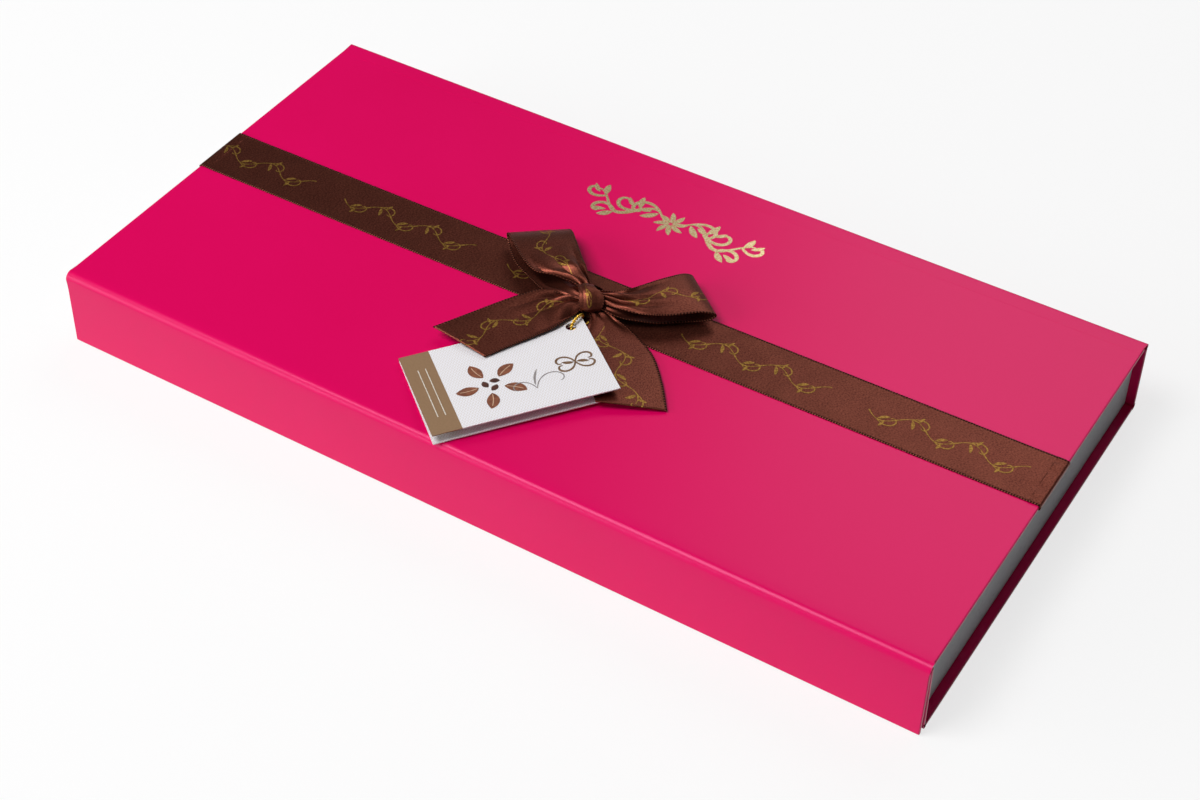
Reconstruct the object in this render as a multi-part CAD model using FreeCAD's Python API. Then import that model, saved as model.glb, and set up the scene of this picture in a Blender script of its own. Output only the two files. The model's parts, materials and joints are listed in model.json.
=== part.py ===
import FreeCAD, Part
import math
import os

from FreeCAD import Vector

# A rigid gift box for chocolates: five wrapped boards hinged by their paper, a tray glued inside,
# filled cells, and a ribbon with a bow and a folded tag round the lid.
# Millimetres. +X runs along the box, +Y to the hinge side, +Z up. The origin is under the middle.

# Case
CASE_LENGTH = 360.0
CASE_DEPTH = 180.0
CASE_HEIGHT = 32.5
BOARD = 1.2
PAPER = 0.15
TURN_IN = 12.0
TOP_BEND = 1.8
TOP_LEAD = 1.2
FOOT_BEND = 1.2
FOOT_LEAD = 0.8
HINGE_CLEARANCE = 0.3
FLAP_LEAN = 2.5
FLAP_FOOT = 0.4
CLOSING_GAP = 0.3

# Magnets sunk in the flap and in the front wall behind it
MAGNET_DIAMETER = 10.0
MAGNET_FIT = 0.1
MAGNET_SPREAD = 220.0
MAGNET_HEIGHT = 17.0

# Tray glued between the walls of the case
TRAY_INSET = 3.5
TRAY_BOARD = 1.5
RIM_GAP = 0.8

# Cells of slotted card, with one cup and one chocolate in each
COLUMNS = 8
ROWS = 4
CARD = 0.8
CARD_HEIGHT = 20.0
CARD_CLEARANCE = 0.2
CUP_PAPER = 0.25
CUP_CLEARANCE = 1.1
CUP_FLARE = 3.0
CUP_HEIGHT = 13.0
PRALINE_CLEARANCE = 0.8
SQUARE_HEIGHT = 16.5
SQUARE_CORNER = 4.0
SQUARE_BEVEL = 3.0
BAR_WIDTH = 20.0
BAR_HEIGHT = 14.0
BAR_CORNER = 6.0
BAR_ROUND = 4.0
OVAL_WIDTH = 24.0
OVAL_SUNK = 4.0
ROSETTE_HEIGHT = 15.0
ROSETTE_LOBES = 8
ROSETTE_BEVEL = 2.5
ROSETTE_SCALLOP = 0.5

# Ribbon round the lid
RIBBON = 0.35
RIBBON_WIDTH = 25.0
RIBBON_Y = 3.3
RIBBON_ANGLE = 0.6
RIBBON_SLACK = 0.15
RIBBON_RETURN = 30.0

# Bow, measured from the middle of its knot
KNOT_X = -1.0
KNOT_FROM_MIDDLE = -3.0
KNOT_RADIUS = 5.5
KNOT_END_RADIUS = 4.6
KNOT_HEIGHT = 8.8
KNOT_SEAT = 0.1
GLUE_RADIUS = 4.0
GLUE_HEIGHT = 1.8
ROOT_WIDTH = 7.0
FLARE_LENGTH = 20.0
LOOP_APEX = 5.0
LOOP_LIFT = 4.6
LOOP_ROUND = 3.3
LEFT_LOOP_ANGLE = 149.5
LEFT_LOOP_REACH = 43.6
LEFT_FOLD_ANGLE = 35.0
RIGHT_LOOP_ANGLE = 34.25
RIGHT_LOOP_REACH = 41.1
RIGHT_FOLD_ANGLE = -36.0
LEFT_TAIL_ANGLE = 236.9
LEFT_TAIL_REACH = 53.0
LEFT_END_ANGLE = -24.0
LEFT_TAIL_OVERLAP = 14.0
RIGHT_TAIL_ANGLE = -42.7
RIGHT_TAIL_REACH = 55.0
RIGHT_END_ANGLE = 20.0
RIGHT_TAIL_TILT = 3.5
RIGHT_TAIL_TUCK = 2.0
SOFT_CLEARANCE = 0.3

# Folded tag, held by the corner nearest the knot
TAG_LENGTH = 68.7
TAG_WIDTH = 44.8
TAG_CARD = 0.4
LEAF_GAP = 0.8
LEAF_OPEN = 3.5
TAG_ANGLE = 51.1
TAG_RISE = 1.2
TAG_LIFT = 0.3
TAG_CORNER_X = -0.1
TAG_CORNER_Y = -6.73
HOLE_DIAMETER = 4.0
HOLE_FROM_END = 5.4
HOLE_FROM_FOLD = 5.6

# Cord of the tag: a loop round the foot of the knot, through both leaves and tied under them
CORD_DIAMETER = 1.0
CORD_ROUTE = [
    (0.9, -14.5, 0.6),
    (1.9, -10.6, 0.6),
    (3.6, -6.9, 0.6),
    (5.5, -3.2, 0.6),
    (5.9, 1.0, 0.6),
    (3.7, 4.6, 0.6),
    (-0.3, 5.9, 0.6),
    (-4.2, 4.3, 0.6),
    (-6.0, 0.5, 0.6),
    (-4.9, -3.6, 0.6),
    (-2.4, -5.7, 0.6),
    (-0.3, -6.1, 0.7),
    (0.9, -6.4, 2.2),
    (1.2, -7.4, 4.0),
    (1.3, -9.6, 5.1),
    (1.1, -12.2, 5.0),
    (0.95, -14.2, 3.9),
    (0.85, -14.7, 2.3),
    (0.85, -14.6, 1.2),
]
CORD_KNOT_RADIUS = 1.2
CORD_KNOT_LIFT = 1.0
CORD_ARC_SHARE = 0.45

# Worked out from the sizes above
PANEL = BOARD + 2 * PAPER
HALF = CASE_LENGTH / 2
FLAP_DROP = CASE_HEIGHT - TOP_BEND - FLAP_FOOT
LEAN = math.radians(FLAP_LEAN)
LEAN_REACH = FLAP_DROP * math.sin(LEAN) - TOP_BEND * (1 - math.cos(LEAN))
BACK_Y = (CASE_DEPTH + LEAN_REACH) / 2
FRONT_Y = BACK_Y - CASE_DEPTH
LID_MIDDLE = (BACK_Y + FRONT_Y) / 2
WALL_Y = FRONT_Y + PANEL + CLOSING_GAP
RIM_Z = CASE_HEIGHT - PANEL - RIM_GAP
LID_AXIS = Vector(0, BACK_Y - TOP_BEND, CASE_HEIGHT - TOP_BEND)
FLAP_AXIS = Vector(0, FRONT_Y + TOP_BEND, CASE_HEIGHT - TOP_BEND)
LID_BACK_LEAD = TOP_BEND + HINGE_CLEARANCE
TRAY_FLOOR_Z = PANEL + TRAY_BOARD
TRAY_X = HALF - TRAY_INSET
TRAY_FRONT = WALL_Y + PANEL
TRAY_BACK = BACK_Y - PANEL
INNER_X = TRAY_X - TRAY_BOARD
INNER_FRONT = TRAY_FRONT + TRAY_BOARD
INNER_BACK = TRAY_BACK - TRAY_BOARD
COLUMN_PITCH = 2 * INNER_X / COLUMNS
ROW_PITCH = (INNER_BACK - INNER_FRONT) / ROWS
CUP_RIM_RADIUS = min(COLUMN_PITCH, ROW_PITCH) / 2 - CARD / 2 - CUP_CLEARANCE
CUP_FOOT_RADIUS = CUP_RIM_RADIUS - CUP_FLARE
PRALINE_REACH = CUP_FOOT_RADIUS - CUP_PAPER - PRALINE_CLEARANCE
SQUARE_SIDE = 2 * SQUARE_CORNER + math.sqrt(2) * (PRALINE_REACH - SQUARE_CORNER)
BAR_STRAIGHT = math.sqrt((PRALINE_REACH - BAR_CORNER) ** 2 - (BAR_WIDTH / 2 - BAR_CORNER) ** 2)
BAR_LENGTH = 2 * (BAR_STRAIGHT + BAR_CORNER)
OVAL_LENGTH = 2 * PRALINE_REACH
LOBE_STEP = 2 * math.pi / ROSETTE_LOBES
LOBE_CREST = math.cos(LOBE_STEP / 2) + ROSETTE_SCALLOP * math.sin(LOBE_STEP / 2)
ROSETTE_RADIUS = PRALINE_REACH / LOBE_CREST
KNOT_Y = LID_MIDDLE + KNOT_FROM_MIDDLE
BAND_Z = CASE_HEIGHT + RIBBON
TAG_SLOPE = math.tan(math.radians(TAG_RISE))
BACK_LEAF_TOP = CASE_HEIGHT + TAG_LIFT + TAG_CARD + TAG_LENGTH * TAG_SLOPE
FRONT_LEAF_TOP = BACK_LEAF_TOP + LEAF_GAP + TAG_CARD
TAG_CORNER = Vector(KNOT_X + TAG_CORNER_X, KNOT_Y + TAG_CORNER_Y, BACK_LEAF_TOP + LEAF_GAP / 2)
LEAF_RISE = LEFT_TAIL_OVERLAP * math.tan(math.radians(LEAF_OPEN))
LEFT_TAIL_Z = FRONT_LEAF_TOP + LEAF_RISE + SOFT_CLEARANCE
TUCK_DROP = RIGHT_TAIL_TUCK * math.sin(math.radians(RIGHT_TAIL_TILT))
RIGHT_TAIL_Z = BACK_LEAF_TOP + SOFT_CLEARANCE - TUCK_DROP
NEAR = 0.001
X_AXIS = Vector(1, 0, 0)
Y_AXIS = Vector(0, 1, 0)
Z_AXIS = Vector(0, 0, 1)


def block(x0, x1, y0, y1, z0, z1):
    return Part.makeBox(x1 - x0, y1 - y0, z1 - z0, Vector(x0, y0, z0))


def turned(shape, angle, axis, centre):
    copy = shape.copy()
    copy.rotate(centre, axis, angle)
    return copy


def moved(shape, x, y, z):
    copy = shape.copy()
    copy.translate(Vector(x, y, z))
    return copy


def polygon(points):
    return Part.Face(Part.makePolygon(points + points[:1]))


def wrapped_panel(width, free_edge):
    """Board, outer wrap and inner liner of one panel, lying outer face down along +Y from the X axis.

    The wrap turns in over both ends, and over the far edge where that edge is free.
    """
    edge = PAPER if free_edge else 0.0
    turn = TURN_IN if free_edge else 0.0
    whole = block(-HALF, HALF, 0, width, 0, PANEL)
    board = block(-HALF + PAPER, HALF - PAPER, 0, width - edge, PAPER, PAPER + BOARD)
    liner = block(-HALF + TURN_IN, HALF - TURN_IN, 0, width - turn, PAPER + BOARD, PANEL)
    wrap = whole.cut(board).cut(liner)
    return {"board": board, "wrap": wrap, "liner": liner}


def bent_strip(x0, length, axis, radii, start, end, leads):
    """Thin strip along X, bent round an X axis from one angle to another, with a straight lead at
    each end. The radii are those of its outer and inner face."""
    lead_in, lead_out = leads

    def spot(radius, angle, run):
        turn = math.radians(angle)
        y = axis.y + radius * math.cos(turn) - run * math.sin(turn)
        z = axis.z + radius * math.sin(turn) + run * math.cos(turn)
        return Vector(x0, y, z)

    edges = []
    for radius in radii:
        middle = spot(radius, (start + end) / 2, 0)
        edges.append(Part.Arc(spot(radius, start, 0), middle, spot(radius, end, 0)).toShape())
        if lead_in > 0:
            edges.append(Part.makeLine(spot(radius, start, -lead_in), spot(radius, start, 0)))
        if lead_out > 0:
            edges.append(Part.makeLine(spot(radius, end, 0), spot(radius, end, lead_out)))
    outer, inner = radii
    edges.append(Part.makeLine(spot(outer, start, -lead_in), spot(inner, start, -lead_in)))
    edges.append(Part.makeLine(spot(outer, end, lead_out), spot(inner, end, lead_out)))
    outline = Part.Wire(Part.sortEdges(edges)[0])
    return Part.Face(outline).extrude(Vector(length, 0, 0))


def gutter(axis, radius, start, end, lead_in, lead_out):
    """Paper hinge: the wrap and the liner pasted together between two boards."""
    radii = (radius, radius - 2 * PAPER)
    return bent_strip(-HALF, CASE_LENGTH, axis, radii, start, end, (lead_in, lead_out))


def magnet_discs(y0, y1, radius):
    discs = []
    for side in (-1, 1):
        start = Vector(side * MAGNET_SPREAD / 2, y0, MAGNET_HEIGHT)
        discs.append(Part.makeCylinder(radius, y1 - y0, start, Y_AXIS))
    return Part.makeCompound(discs)


def make_case(parts):
    def place(name, pieces, placing):
        for layer, shape in pieces.items():
            parts[f"{name}_{layer}"] = placing(shape)

    foot = FOOT_BEND + FOOT_LEAD
    base_width = (BACK_Y - foot) - (WALL_Y + foot)
    place("base", wrapped_panel(base_width, False), lambda s: moved(s, 0, WALL_Y + foot, 0))

    wall_width = RIM_Z - foot
    stand_up = lambda s: turned(s, 90, X_AXIS, Vector())
    face_front = lambda s: turned(stand_up(s), 180, Z_AXIS, Vector())
    place("front", wrapped_panel(wall_width, True), lambda s: moved(face_front(s), 0, WALL_Y, foot))

    spine_width = CASE_HEIGHT - TOP_BEND - TOP_LEAD - foot
    place("spine", wrapped_panel(spine_width, False), lambda s: moved(stand_up(s), 0, BACK_Y, foot))

    lid_back = LID_AXIS.y - LID_BACK_LEAD
    lid_front = FLAP_AXIS.y + TOP_LEAD
    place(
        "lid",
        wrapped_panel(lid_back - lid_front, False),
        lambda s: moved(turned(s, 180, X_AXIS, Vector()), 0, lid_back, CASE_HEIGHT),
    )

    flap_top = FLAP_AXIS.z - TOP_LEAD
    place(
        "flap",
        wrapped_panel(flap_top - FLAP_FOOT, True),
        lambda s: moved(turned(s, -90, X_AXIS, Vector()), 0, FRONT_Y, flap_top),
    )

    hole = MAGNET_DIAMETER / 2 + MAGNET_FIT
    flap_in = FRONT_Y + PAPER
    wall_in = WALL_Y + PAPER
    parts["flap_board"] = parts["flap_board"].cut(magnet_discs(flap_in, flap_in + BOARD, hole))
    parts["front_board"] = parts["front_board"].cut(magnet_discs(wall_in, wall_in + BOARD, hole))
    parts["flap_magnets"] = magnet_discs(flap_in, flap_in + BOARD, MAGNET_DIAMETER / 2)
    parts["wall_magnets"] = magnet_discs(wall_in, wall_in + BOARD, MAGNET_DIAMETER / 2)
    for name in ("flap_board", "flap_wrap", "flap_liner", "flap_magnets"):
        parts[name] = turned(parts[name], -FLAP_LEAN, X_AXIS, FLAP_AXIS)

    foot_front = Vector(0, WALL_Y + FOOT_BEND, FOOT_BEND)
    foot_back = Vector(0, BACK_Y - FOOT_BEND, FOOT_BEND)
    parts["base_front_gutter"] = gutter(foot_front, FOOT_BEND, 180, 270, FOOT_LEAD, FOOT_LEAD)
    parts["base_back_gutter"] = gutter(foot_back, FOOT_BEND, 270, 360, FOOT_LEAD, FOOT_LEAD)
    parts["lid_gutter"] = gutter(LID_AXIS, TOP_BEND, 0, 90, TOP_LEAD, LID_BACK_LEAD)
    parts["flap_gutter"] = gutter(FLAP_AXIS, TOP_BEND, 90, 180 - FLAP_LEAN, TOP_LEAD, TOP_LEAD)


def make_tray(parts):
    low = TRAY_FLOOR_Z
    parts["tray_floor"] = block(-TRAY_X, TRAY_X, TRAY_FRONT, TRAY_BACK, PANEL, low)
    parts["tray_left_wall"] = block(-TRAY_X, -INNER_X, TRAY_FRONT, TRAY_BACK, low, RIM_Z)
    parts["tray_right_wall"] = block(INNER_X, TRAY_X, TRAY_FRONT, TRAY_BACK, low, RIM_Z)
    parts["tray_front_wall"] = block(-INNER_X, INNER_X, TRAY_FRONT, INNER_FRONT, low, RIM_Z)
    parts["tray_back_wall"] = block(-INNER_X, INNER_X, INNER_BACK, TRAY_BACK, low, RIM_Z)


def make_dividers(parts):
    """Half-slotted strips: the long ones are notched from above, the cross ones from below."""
    low = TRAY_FLOOR_Z
    high = low + CARD_HEIGHT
    middle = (low + high) / 2
    notch = CARD / 2 + CARD_CLEARANCE
    columns = [-INNER_X + COLUMN_PITCH * i for i in range(1, COLUMNS)]
    rows = [INNER_FRONT + ROW_PITCH * j for j in range(1, ROWS)]
    end_x = INNER_X - CARD_CLEARANCE
    long_strips = []
    for y in rows:
        strip = block(-end_x, end_x, y - CARD / 2, y + CARD / 2, low, high)
        cuts = [block(x - notch, x + notch, y - CARD, y + CARD, middle, high + CARD) for x in columns]
        long_strips.append(strip.cut(cuts))
    cross_strips = []
    for x in columns:
        front = INNER_FRONT + CARD_CLEARANCE
        back = INNER_BACK - CARD_CLEARANCE
        strip = block(x - CARD / 2, x + CARD / 2, front, back, low, high)
        cuts = [block(x - CARD, x + CARD, y - notch, y + notch, low - CARD, middle) for y in rows]
        cross_strips.append(strip.cut(cuts))
    parts["long_dividers"] = Part.makeCompound(long_strips)
    parts["cross_dividers"] = Part.makeCompound(cross_strips)


def paper_cup():
    outer = Part.makeCone(CUP_FOOT_RADIUS, CUP_RIM_RADIUS, CUP_HEIGHT)
    inner = Part.makeCone(CUP_FOOT_RADIUS - CUP_PAPER, CUP_RIM_RADIUS - CUP_PAPER, CUP_HEIGHT)
    return outer.cut(moved(inner, 0, 0, CUP_PAPER))


def upright_edges(solid):
    return [e for e in solid.Edges if e.BoundBox.ZLength > NEAR]


def top_edges(solid):
    high = solid.BoundBox.ZMax
    return [e for e in solid.Edges if e.BoundBox.ZMin > high - NEAR]


def square_praline():
    side = SQUARE_SIDE / 2
    solid = block(-side, side, -side, side, 0, SQUARE_HEIGHT)
    solid = solid.makeFillet(SQUARE_CORNER, upright_edges(solid))
    return solid.makeChamfer(SQUARE_BEVEL, top_edges(solid))


def nut_bar():
    solid = block(-BAR_LENGTH / 2, BAR_LENGTH / 2, -BAR_WIDTH / 2, BAR_WIDTH / 2, 0, BAR_HEIGHT)
    solid = solid.makeFillet(BAR_CORNER, upright_edges(solid))
    return solid.makeFillet(BAR_ROUND, top_edges(solid))


def oval_praline():
    """Egg form, cut flat underneath."""
    stretch = FreeCAD.Matrix()
    stretch.scale(OVAL_LENGTH / 2, OVAL_WIDTH / 2, OVAL_WIDTH / 2)
    egg = Part.makeSphere(1.0).transformGeometry(stretch)
    sink = OVAL_WIDTH / 2 - OVAL_SUNK
    keep = block(-OVAL_LENGTH, OVAL_LENGTH, -OVAL_LENGTH, OVAL_LENGTH, -sink, OVAL_LENGTH)
    return moved(egg.common(keep), 0, 0, sink)


def rosette_praline():
    """Round block with scalloped sides and a bevelled top."""

    def rim(radius, angle, z):
        return Vector(radius * math.cos(angle), radius * math.sin(angle), z)

    def scallop(radius, z):
        arcs = []
        for lobe in range(ROSETTE_LOBES):
            first = rim(radius, lobe * LOBE_STEP, z)
            crest = rim(radius * LOBE_CREST, (lobe + 0.5) * LOBE_STEP, z)
            last = rim(radius, (lobe + 1) * LOBE_STEP, z)
            arcs.append(Part.Arc(first, crest, last).toShape())
        return Part.Wire(arcs)

    shoulder = ROSETTE_HEIGHT - ROSETTE_BEVEL
    body = Part.makeLoft([scallop(ROSETTE_RADIUS, 0), scallop(ROSETTE_RADIUS, shoulder)], True, True)
    crown = Part.makeLoft(
        [scallop(ROSETTE_RADIUS, shoulder), scallop(ROSETTE_RADIUS - ROSETTE_BEVEL, ROSETTE_HEIGHT)],
        True,
        True,
    )
    return body.fuse(crown).removeSplitter()


def make_contents(parts):
    kinds = {
        "square_pralines": square_praline(),
        "nut_bars": nut_bar(),
        "oval_pralines": oval_praline(),
        "rosette_pralines": rosette_praline(),
    }
    names = list(kinds)
    groups = {name: [] for name in names}
    cup = paper_cup()
    cups = []
    for column in range(COLUMNS):
        for row in range(ROWS):
            x = -INNER_X + COLUMN_PITCH * (column + 0.5)
            y = INNER_FRONT + ROW_PITCH * (row + 0.5)
            cups.append(moved(cup, x, y, TRAY_FLOOR_Z))
            name = names[(column + row) % len(names)]
            groups[name].append(moved(kinds[name], x, y, TRAY_FLOOR_Z + CUP_PAPER))
    parts["paper_cups"] = Part.makeCompound(cups)
    for name, solids in groups.items():
        parts[name] = Part.makeCompound(solids)


def make_band(parts):
    """Ribbon laid over the lid, folded over both ends and glued to the lid's underside."""
    low = CASE_HEIGHT - PANEL
    side = RIBBON_WIDTH / 2
    in_x = HALF + RIBBON_SLACK
    out_x = in_x + RIBBON
    outer = block(-out_x, out_x, -side, side, low - RIBBON, CASE_HEIGHT + RIBBON)
    lid_space = block(-in_x, in_x, -RIBBON_WIDTH, RIBBON_WIDTH, low, CASE_HEIGHT)
    open_x = HALF - RIBBON_RETURN
    window = block(-open_x, open_x, -RIBBON_WIDTH, RIBBON_WIDTH, low - CASE_HEIGHT, low)
    band = outer.cut([lid_space, window])
    band = turned(band, RIBBON_ANGLE, Z_AXIS, Vector())
    parts["ribbon_band"] = moved(band, 0, LID_MIDDLE + RIBBON_Y, 0)


def knot_clearance():
    return Part.makeCylinder(KNOT_RADIUS + KNOT_SEAT, CASE_HEIGHT, Vector(0, 0, -CASE_HEIGHT / 2))


def at_knot(shape):
    return moved(shape, KNOT_X, KNOT_Y, BAND_Z)


def heading(turn):
    return Vector(math.cos(math.radians(turn)), math.sin(math.radians(turn)), 0)


def teardrop(reach, half_height, apex_z, round_z, width):
    """Prism along Y whose section is a point at the knot and a round fold at the reach."""
    apex = Vector(0, -width / 2, apex_z)
    centre = Vector(reach - half_height, -width / 2, round_z)
    run = centre.sub(apex)
    slope = math.atan2(run.z, run.x)
    spread = math.acos(half_height / run.Length)

    def on_fold(angle):
        return centre.add(Vector(math.cos(angle), 0, math.sin(angle)).multiply(half_height))

    upper = on_fold(slope + math.pi - spread)
    lower = on_fold(slope - math.pi + spread)
    edges = [
        Part.makeLine(apex, lower),
        Part.Arc(lower, on_fold(slope), upper).toShape(),
        Part.makeLine(upper, apex),
    ]
    return Part.Face(Part.Wire(edges)).extrude(Vector(0, width, 0))


def bow_loop(turn, reach, fold):
    """One flattened loop: a folded-back ribbon that narrows to the knot, open through its sides."""
    square = fold + 90
    along = reach * math.cos(math.radians(turn - square))
    uncut_width = 4 * RIBBON_WIDTH
    outer = teardrop(along, LOOP_ROUND, LOOP_APEX, LOOP_LIFT, uncut_width)
    lean = math.asin(LOOP_ROUND / (along - LOOP_ROUND))
    hollow_start = RIBBON / math.sin(lean)
    hollow_reach = along - hollow_start - RIBBON
    hollow = teardrop(hollow_reach, LOOP_ROUND - RIBBON, LOOP_APEX, LOOP_LIFT, 2 * uncut_width)
    band = outer.cut(moved(hollow, hollow_start, 0, 0))
    band = turned(band, square, Z_AXIS, Vector())

    middle = heading(turn).multiply(reach)
    across = heading(fold).multiply(RIBBON_WIDTH / 2)
    beside = heading(turn - 90).multiply(ROOT_WIDTH / 2)
    tip = heading(square).multiply(RIBBON_WIDTH)
    outline = [
        beside,
        middle.add(across),
        middle.add(across).add(tip),
        middle.sub(across).add(tip),
        middle.sub(across),
        beside.negative(),
    ]
    depth = Vector(0, 0, -RIBBON_WIDTH)
    prism = polygon([p.add(depth) for p in outline]).extrude(Vector(0, 0, 2 * RIBBON_WIDTH))
    return at_knot(band.common(prism).cut(knot_clearance()))


def bow_tail(turn, reach, slant, tilt, lift):
    """One flat end of the bow: narrow at the knot, full width further out, cut on the slant."""
    root = ROOT_WIDTH / 2
    side = RIBBON_WIDTH / 2
    skew = side * math.tan(math.radians(slant))
    outline = [
        Vector(0, -root, 0),
        Vector(KNOT_RADIUS, -root, 0),
        Vector(FLARE_LENGTH, -side, 0),
        Vector(reach - skew, -side, 0),
        Vector(reach + skew, side, 0),
        Vector(FLARE_LENGTH, side, 0),
        Vector(KNOT_RADIUS, root, 0),
        Vector(0, root, 0),
    ]
    strip = polygon(outline).extrude(Vector(0, 0, RIBBON))
    strip = turned(strip, tilt, X_AXIS, Vector())
    strip = turned(moved(strip, 0, 0, lift - BAND_Z), turn, Z_AXIS, Vector())
    return at_knot(strip.cut(knot_clearance()))


def make_bow(parts):
    parts["bow_glue"] = at_knot(Part.makeCylinder(GLUE_RADIUS, GLUE_HEIGHT))
    low = GLUE_HEIGHT
    high = low + KNOT_HEIGHT
    bulge = Part.Arc(
        Vector(KNOT_END_RADIUS, 0, low),
        Vector(KNOT_RADIUS, 0, (low + high) / 2),
        Vector(KNOT_END_RADIUS, 0, high),
    ).toShape()
    ends = [
        Part.LineSegment(Vector(0, 0, low), Vector(KNOT_END_RADIUS, 0, low)).toShape(),
        bulge,
        Part.LineSegment(Vector(KNOT_END_RADIUS, 0, high), Vector(0, 0, high)).toShape(),
        Part.LineSegment(Vector(0, 0, high), Vector(0, 0, low)).toShape(),
    ]
    parts["bow_knot"] = at_knot(Part.Face(Part.Wire(ends)).revolve(Vector(), Z_AXIS, 360))
    parts["bow_left_loop"] = bow_loop(LEFT_LOOP_ANGLE, LEFT_LOOP_REACH, LEFT_FOLD_ANGLE)
    parts["bow_right_loop"] = bow_loop(RIGHT_LOOP_ANGLE, RIGHT_LOOP_REACH, RIGHT_FOLD_ANGLE)
    parts["bow_left_tail"] = bow_tail(
        LEFT_TAIL_ANGLE, LEFT_TAIL_REACH, LEFT_END_ANGLE, 0, LEFT_TAIL_Z
    )
    parts["bow_right_tail"] = bow_tail(
        RIGHT_TAIL_ANGLE, RIGHT_TAIL_REACH, RIGHT_END_ANGLE, -RIGHT_TAIL_TILT, RIGHT_TAIL_Z
    )


def at_tag(shape):
    pitched = turned(shape, -TAG_RISE, Y_AXIS, Vector())
    return moved(turned(pitched, TAG_ANGLE, Z_AXIS, Vector()), *TAG_CORNER)


def make_tag(parts):
    """Card folded along its far long edge: the fold is on the X axis and the leaves run to -Y."""
    inner = LEAF_GAP / 2
    outer = inner + TAG_CARD
    hole = Part.makeCylinder(
        HOLE_DIAMETER / 2, 4 * outer, Vector(-HOLE_FROM_END, -HOLE_FROM_FOLD, -2 * outer)
    )
    back = block(-TAG_LENGTH, 0, -TAG_WIDTH, 0, -outer, -inner).cut(hole)
    front = block(-TAG_LENGTH, 0, -TAG_WIDTH, 0, inner, outer).cut(hole)
    front = turned(front, -LEAF_OPEN, X_AXIS, Vector())
    fold = bent_strip(-TAG_LENGTH, TAG_LENGTH, Vector(), (outer, inner), -90, 90 - LEAF_OPEN, (0, 0))
    parts["tag_fold"] = at_tag(fold)
    parts["tag_back_leaf"] = at_tag(back)
    parts["tag_front_leaf"] = at_tag(front)


def cord_path():
    """Straight runs joined by tangent arcs, each as large as its two runs allow."""
    points = [Vector(KNOT_X + x, KNOT_Y + y, BAND_Z + z) for x, y, z in CORD_ROUTE]
    edges = []
    radii = []
    reached = points[0]
    for before, corner, after in zip(points, points[1:], points[2:]):
        back = before.sub(corner)
        ahead = after.sub(corner)
        turn = math.pi - back.getAngle(ahead)
        cut = CORD_ARC_SHARE * min(back.Length, ahead.Length)
        radius = cut / math.tan(turn / 2)
        entry = corner.add(back.normalize().multiply(cut))
        leave = corner.add(ahead.normalize().multiply(cut))
        inward = entry.add(leave).multiply(0.5).sub(corner)
        to_arc = radius / math.cos(turn / 2) - radius
        crest = corner.add(inward.normalize().multiply(to_arc))
        edges.append(Part.LineSegment(reached, entry).toShape())
        edges.append(Part.Arc(entry, crest, leave).toShape())
        radii.append(radius)
        reached = leave
    edges.append(Part.LineSegment(reached, points[-1]).toShape())
    return Part.Wire(edges), radii


def make_cord(parts):
    path, radii = cord_path()
    first = path.Edges[0]
    section = Part.Circle(first.valueAt(first.FirstParameter), first.tangentAt(0), CORD_DIAMETER / 2)
    cord = path.makePipeShell([Part.Wire(section.toShape())], True, False)
    parts["tag_cord"] = cord
    end_x, end_y = CORD_ROUTE[-1][:2]
    ball = Part.makeSphere(CORD_KNOT_RADIUS, Vector(end_x, end_y, CORD_KNOT_LIFT))
    parts["tag_cord_knot"] = at_knot(ball).cut(cord)
    ideal = math.pi * CORD_DIAMETER**2 / 4 * path.Length
    print(f"cord length {path.Length:.1f}, radii", [round(radius, 2) for radius in radii])
    print(f"cord volume {cord.Volume:.2f} of {ideal:.2f}")


def make_parts():
    parts = {}
    make_case(parts)
    make_tray(parts)
    make_dividers(parts)
    make_contents(parts)
    make_band(parts)
    make_bow(parts)
    make_tag(parts)
    make_cord(parts)
    return parts


os.makedirs("parts", exist_ok=True)
for node, shape in make_parts().items():
    if not shape.isValid():
        print(f"{node} is not valid")
    shape.exportStep(f"parts/{node}.step")
    print(f"{node}: {len(shape.Solids)} solids, {shape.Volume:.1f} mm3")
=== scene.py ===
# %% [markdown]
# # A chocolate gift box, dressed over its solids
# The packed model already holds every piece of the box, in the right place and free to move. This lesson
# gives the pieces their looks: laminated paper over board, satin ribbon tied in a bow, a card tag on a
# twisted cord, and the filled tray that shows when the lid is lifted.

# %% Load the solids
import json
import math
import random

import bmesh
import bpy
import numpy as np
from mathutils import Matrix, Vector


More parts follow.
